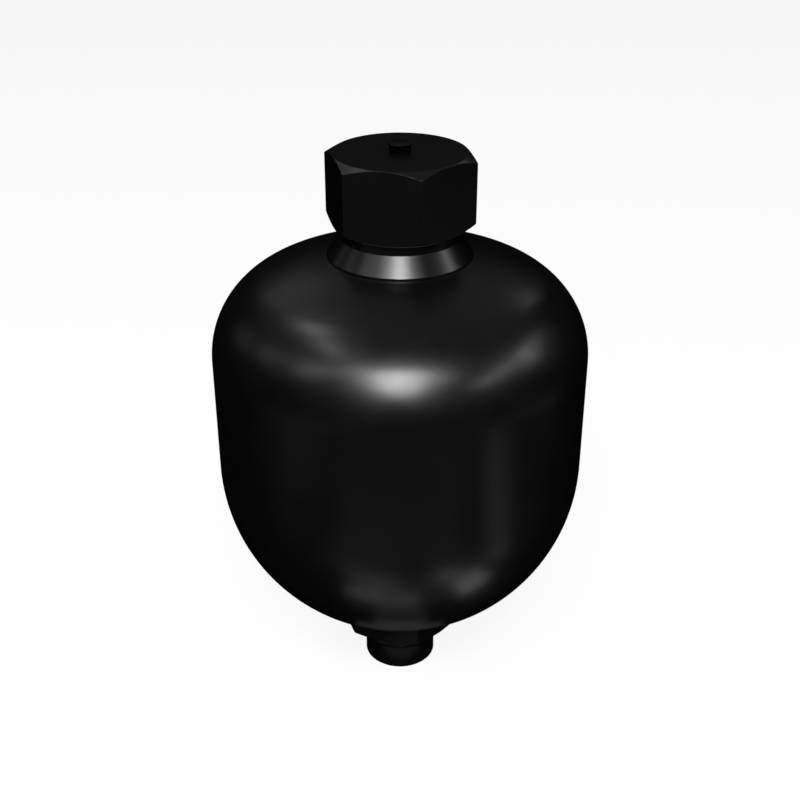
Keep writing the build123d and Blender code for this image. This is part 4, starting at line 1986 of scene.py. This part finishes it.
@dataclass
class Studio:
    """Camera, lamps, floor and background."""

    lens: float = 54.257
    sensor: float = 36.0
    camera_place: Triple = (0.0, -0.35028, 0.29044)
    camera_target: Triple = (0.0, 0.0, 0.10295)
    camera_reach: Pair = (0.01, 50.0)
    room_radius: float = 8.0
    room_rings: int = 24
    floor_white: float = 0.85
    paper_grey: float = 0.85
    fill_grey: float = 0.3
    painted: Sequence[str] = ("vessel_bowl", "vessel_dome", "port_forging", "boss_turned", "cap_hexagon", "cap_rivet")

    def camera(self) -> None:
        """Sets the camera at the photograph's viewing angle."""
        data = bpy.data.cameras.new("camera")
        data.sensor_width = self.sensor
        data.lens = self.lens
        data.clip_start, data.clip_end = self.camera_reach
        made = bpy.data.objects.new("camera", data)
        stand(made, self.camera_place, self.camera_target)
        bpy.context.scene.camera = made

    def key_lamps(self) -> list[Softbox]:
        """Lists the panels over the front, brightest in the middle, which light the object.

        Returns:
            The lamps.
        """
        rows = (
            ("core_near", (-0.16, 0.16), (-1.1, -0.95), 19.4, 1.24),
            ("core_far", (-0.16, 0.16), (-1.3, -1.1), 5.7, 1.24),
            ("key_near", (-0.35, 0.35), (-1.1, -0.95), 24.1),
            ("key_middle", (-0.35, 0.35), (-1.5, -1.3), 22.5),
            ("key_far", (-0.35, 0.35), (-1.9, -1.5), 13.3),
            ("key_end", (-0.35, 0.35), (-2.5, -1.9), 8.4),
            ("key_left", (-0.6, -0.35), (-1.9, -0.75), 4.6),
            ("key_right", (0.35, 0.8), (-1.4, -0.9), 2.6),
        )
        return [Softbox.overhead(*row) for row in rows]

    def side_lamps(self) -> list[Softbox]:
        """Lists the narrow panels and soft lamps that draw the streaks on the shoulders and the cone.

        Returns:
            The lamps.
        """
        strips = (
            ("wing_left", (-1.95, -0.6), (-1.0, -0.7), 1.8),
            ("strip_left_near", (-0.72, -0.55), (-0.45, 0.0), 3.4),
            ("strip_left_far", (-0.72, -0.55), (0.0, 0.5), 1.65),
            ("strip_right_near", (1.75, 2.05), (-1.85, -0.5), 5.8),
            ("strip_right_far", (1.75, 2.05), (-0.5, 0.75), 1.9),
            ("corner_right", (0.95, 1.15), (1.35, 1.6), 2.6),
        )
        soft = (
            ("right", 89, 27, 0.3, 1.8),
            ("left_front", -63, 36, 0.3, 0.85),
            ("left", -90, 26, 0.3, 0.56),
            ("left_low", -113, 16, 0.3, 0.19),
            ("left_high", -120, 58, 0.3, 1.2),
            ("left_back", -148, 36, 0.35, 0.24),
        )
        return [Softbox.overhead(*row) for row in strips] + [Softbox.towards(*row) for row in soft]

    def ceiling(self) -> list[Softbox]:
        """Lists the dim panels that stand for the ceiling.

        Returns:
            The lamps.
        """
        rows = (
            ("ceiling_middle", (-0.9, 0.9), (-0.1, 0.6), 0.1, 1.3),
            ("ceiling_back", (-0.9, 0.9), (0.6, 1.6), 0.11, 1.3),
            ("ceiling_end", (-1.2, 1.2), (1.6, 3.0), 0.04, 1.3),
            ("ceiling_left", (-2.2, -0.9), (-0.7, 1.5), 0.06, 1.3),
            ("ceiling_right", (0.9, 1.7), (-0.7, 1.3), 0.07, 1.3),
        )
        return [Softbox.overhead(*row) for row in rows]

    def floor_glow(self) -> list[Softbox]:
        """Lists the faint patches of the floor that the lower half of the enamel mirrors.

        Returns:
            The lamps.
        """
        rows = (
            ("glow_spigot", (0.0, -0.02), (0.04, 0.008), 0.1),
            ("glow_port", (0.0, -0.034), (0.026, 0.012), 0.1),
            ("glow_under", (0.0, -0.055), (0.03, 0.015), 0.07),
            ("glow_near_left", (-0.028, -0.078), (0.028, 0.02), 0.46),
            ("glow_near", (0.0, -0.076), (0.028, 0.02), 0.35),
            ("glow_near_right", (0.028, -0.078), (0.028, 0.02), 0.07),
            ("glow_right_1", (0.059, -0.0735), (0.03, 0.03), 0.93),
            ("glow_right_2", (0.111, -0.085), (0.035, 0.03), 0.31),
            ("glow_right_3", (0.149, -0.114), (0.04, 0.035), 0.35),
            ("glow_right_4", (0.19, -0.144), (0.06, 0.05), 0.25),
            ("glow_arc_1", (-0.072, -0.122), (0.035, 0.025), 0.12),
            ("glow_arc_2", (-0.04, -0.107), (0.03, 0.02), 0.32),
            ("glow_arc_3", (-0.015, -0.101), (0.03, 0.02), 0.38),
            ("glow_arc_4", (0.018, -0.1), (0.03, 0.02), 0.1),
            ("glow_arc_5", (0.045, -0.104), (0.03, 0.02), 0.63),
            ("glow_front", (0.0, -0.168), (0.2, 0.064), 0.08),
            ("glow_front_far", (0.0, -0.25), (0.3, 0.1), 0.02),
            ("glow_front_end", (0.0, -0.38), (0.4, 0.16), 0.03),
            ("glow_left_far", (-0.3, -0.22), (0.26, 0.25), 0.08),
            ("glow_right_far", (0.3, -0.22), (0.26, 0.25), 0.02),
            ("glow_right_end", (0.42, -0.12), (0.3, 0.3), 0.07),
        )
        return [Softbox.bounce(*row) for row in rows]

    def softboxes(self) -> list[Softbox]:
        """Lists all the lamps."""
        return self.key_lamps() + self.side_lamps() + self.ceiling() + self.floor_glow()

    def white_where_seen(
        self, board: NodeBoard, lit: bpy.types.Node, white: bpy.types.Node, camera_share: float, output: str
    ) -> None:
        """Shows plain white to a ray that looks, and another shader to the light that falls on it.

        Camera rays see a share of the white, glossy and transmission rays all of it.

        Args:
            board: The nodes it is laid out among.
            lit: The shader for the light.
            white: The shader for the rays that look.
            camera_share: Share of white that camera rays see.
            output: Type of the output node.
        """
        rays = board.add("ShaderNodeLightPath")
        share = board.fill(board.add("ShaderNodeMath", operation="MULTIPLY"), {1: camera_share})
        board.join(rays, "Is Camera Ray", share, 0)
        for kind in ("Is Glossy Ray", "Is Transmission Ray"):
            larger = board.add("ShaderNodeMath", operation="MAXIMUM")
            board.join(share, 0, larger, 0)
            board.join(rays, kind, larger, 1)
            share = larger
        mix = board.add("ShaderNodeMixShader")
        for number, node in enumerate((share, lit, white)):
            board.join(node, 0, mix, number)
        board.join(mix, 0, board.add(output), "Surface")

    def world(self) -> None:
        """Sets a white world that camera, glossy and transmission rays see, and a dim fill for the rest."""
        world = bpy.data.worlds.new("studio")
        world.cycles.sampling_method = "NONE"
        board = NodeBoard(world)
        fill = board.fill(board.add("ShaderNodeBackground"), {"Color": (*grey(self.fill_grey), 1.0)})
        white = board.fill(board.add("ShaderNodeBackground"), {"Color": (*grey(1.0), 1.0)})
        self.white_where_seen(board, fill, white, 1.0, "ShaderNodeOutputWorld")
        bpy.context.scene.world = world

    def paper(self, name: str, camera_share: float) -> Material:
        """Makes white paper: matt for the light that falls on it, and plain white where a ray looks at it.

        Args:
            name: Name of the material.
            camera_share: Share of plain white that the camera sees, the rest being the lit paper.

        Returns:
            The material.
        """
        material = bpy.data.materials.new(name)
        material.cycles.emission_sampling = "NONE"
        board = NodeBoard(material)
        lit = board.fill(board.add("ShaderNodeBsdfDiffuse"), {"Color": (*grey(self.paper_grey), 1.0)})
        white = board.add("ShaderNodeEmission")
        self.white_where_seen(board, lit, white, camera_share, "ShaderNodeOutputMaterial")
        return material

    def room(self) -> list[Piece]:
        """Lays the pale floor, which keeps the object's shadow, and sets the white backdrop round it.

        Returns:
            The pieces.
        """
        made = []
        for name in ("floor", "backdrop"):
            work = bmesh.new()
            if name == "floor":
                bmesh.ops.create_grid(work, x_segments=1, y_segments=1, size=self.room_radius)
            else:
                rings = self.room_rings
                bmesh.ops.create_uvsphere(work, u_segments=2 * rings, v_segments=rings, radius=self.room_radius)
                bmesh.ops.reverse_faces(work, faces=work.faces[:])
            mesh = bpy.data.meshes.new(name)
            work.to_mesh(mesh)
            work.free()
            mesh.materials.append(self.paper(name + "_paper", self.floor_white if name == "floor" else 1.0))
            stage = bpy.data.objects.new(name, mesh)
            bpy.context.scene.collection.objects.link(stage)
            made.append(stage)
        backdrop = made[-1]
        backdrop.visible_diffuse = False
        backdrop.visible_shadow = False
        return made

    def keep_white_off_paint(self, stages: Iterable[Piece]) -> None:
        """Links the white of the room to bare metal and rubber only, so that the black enamel stays black.

        Args:
            stages: The floor and the backdrop.
        """
        receivers = bpy.data.collections.new("not_painted")
        for name in self.painted:
            receivers.objects.link(bpy.data.objects[name])
        for entry in receivers.collection_objects:
            entry.light_linking.link_state = "EXCLUDE"
        for stage in stages:
            stage.light_linking.receiver_collection = receivers

    def build(self) -> None:
        """Sets up the studio."""
        self.camera()
        self.world()
        self.keep_white_off_paint(self.room())
        for softbox in self.softboxes():
            softbox.build()
        bpy.context.scene.view_settings.view_transform = "Standard"


def main() -> None:
    """Builds the sub-assemblies in order, reports each piece and sets up the studio."""
    logging.basicConfig(level=logging.INFO, format="%(message)s")
    finishes = Finishes()
    assemblies = (
        Vessel(finishes),
        FluidPort(finishes),
        GasBoss(finishes),
        ScrewCap(finishes),
        GasValve(finishes),
        Bladder(finishes),
    )
    for assembly in assemblies:
        for piece in assembly.build():
            LOG.info("%s: %s, %d faces", type(assembly).__name__, piece.name, len(piece.data.polygons))
    Studio().build()


if __name__ == "__main__":
    main()
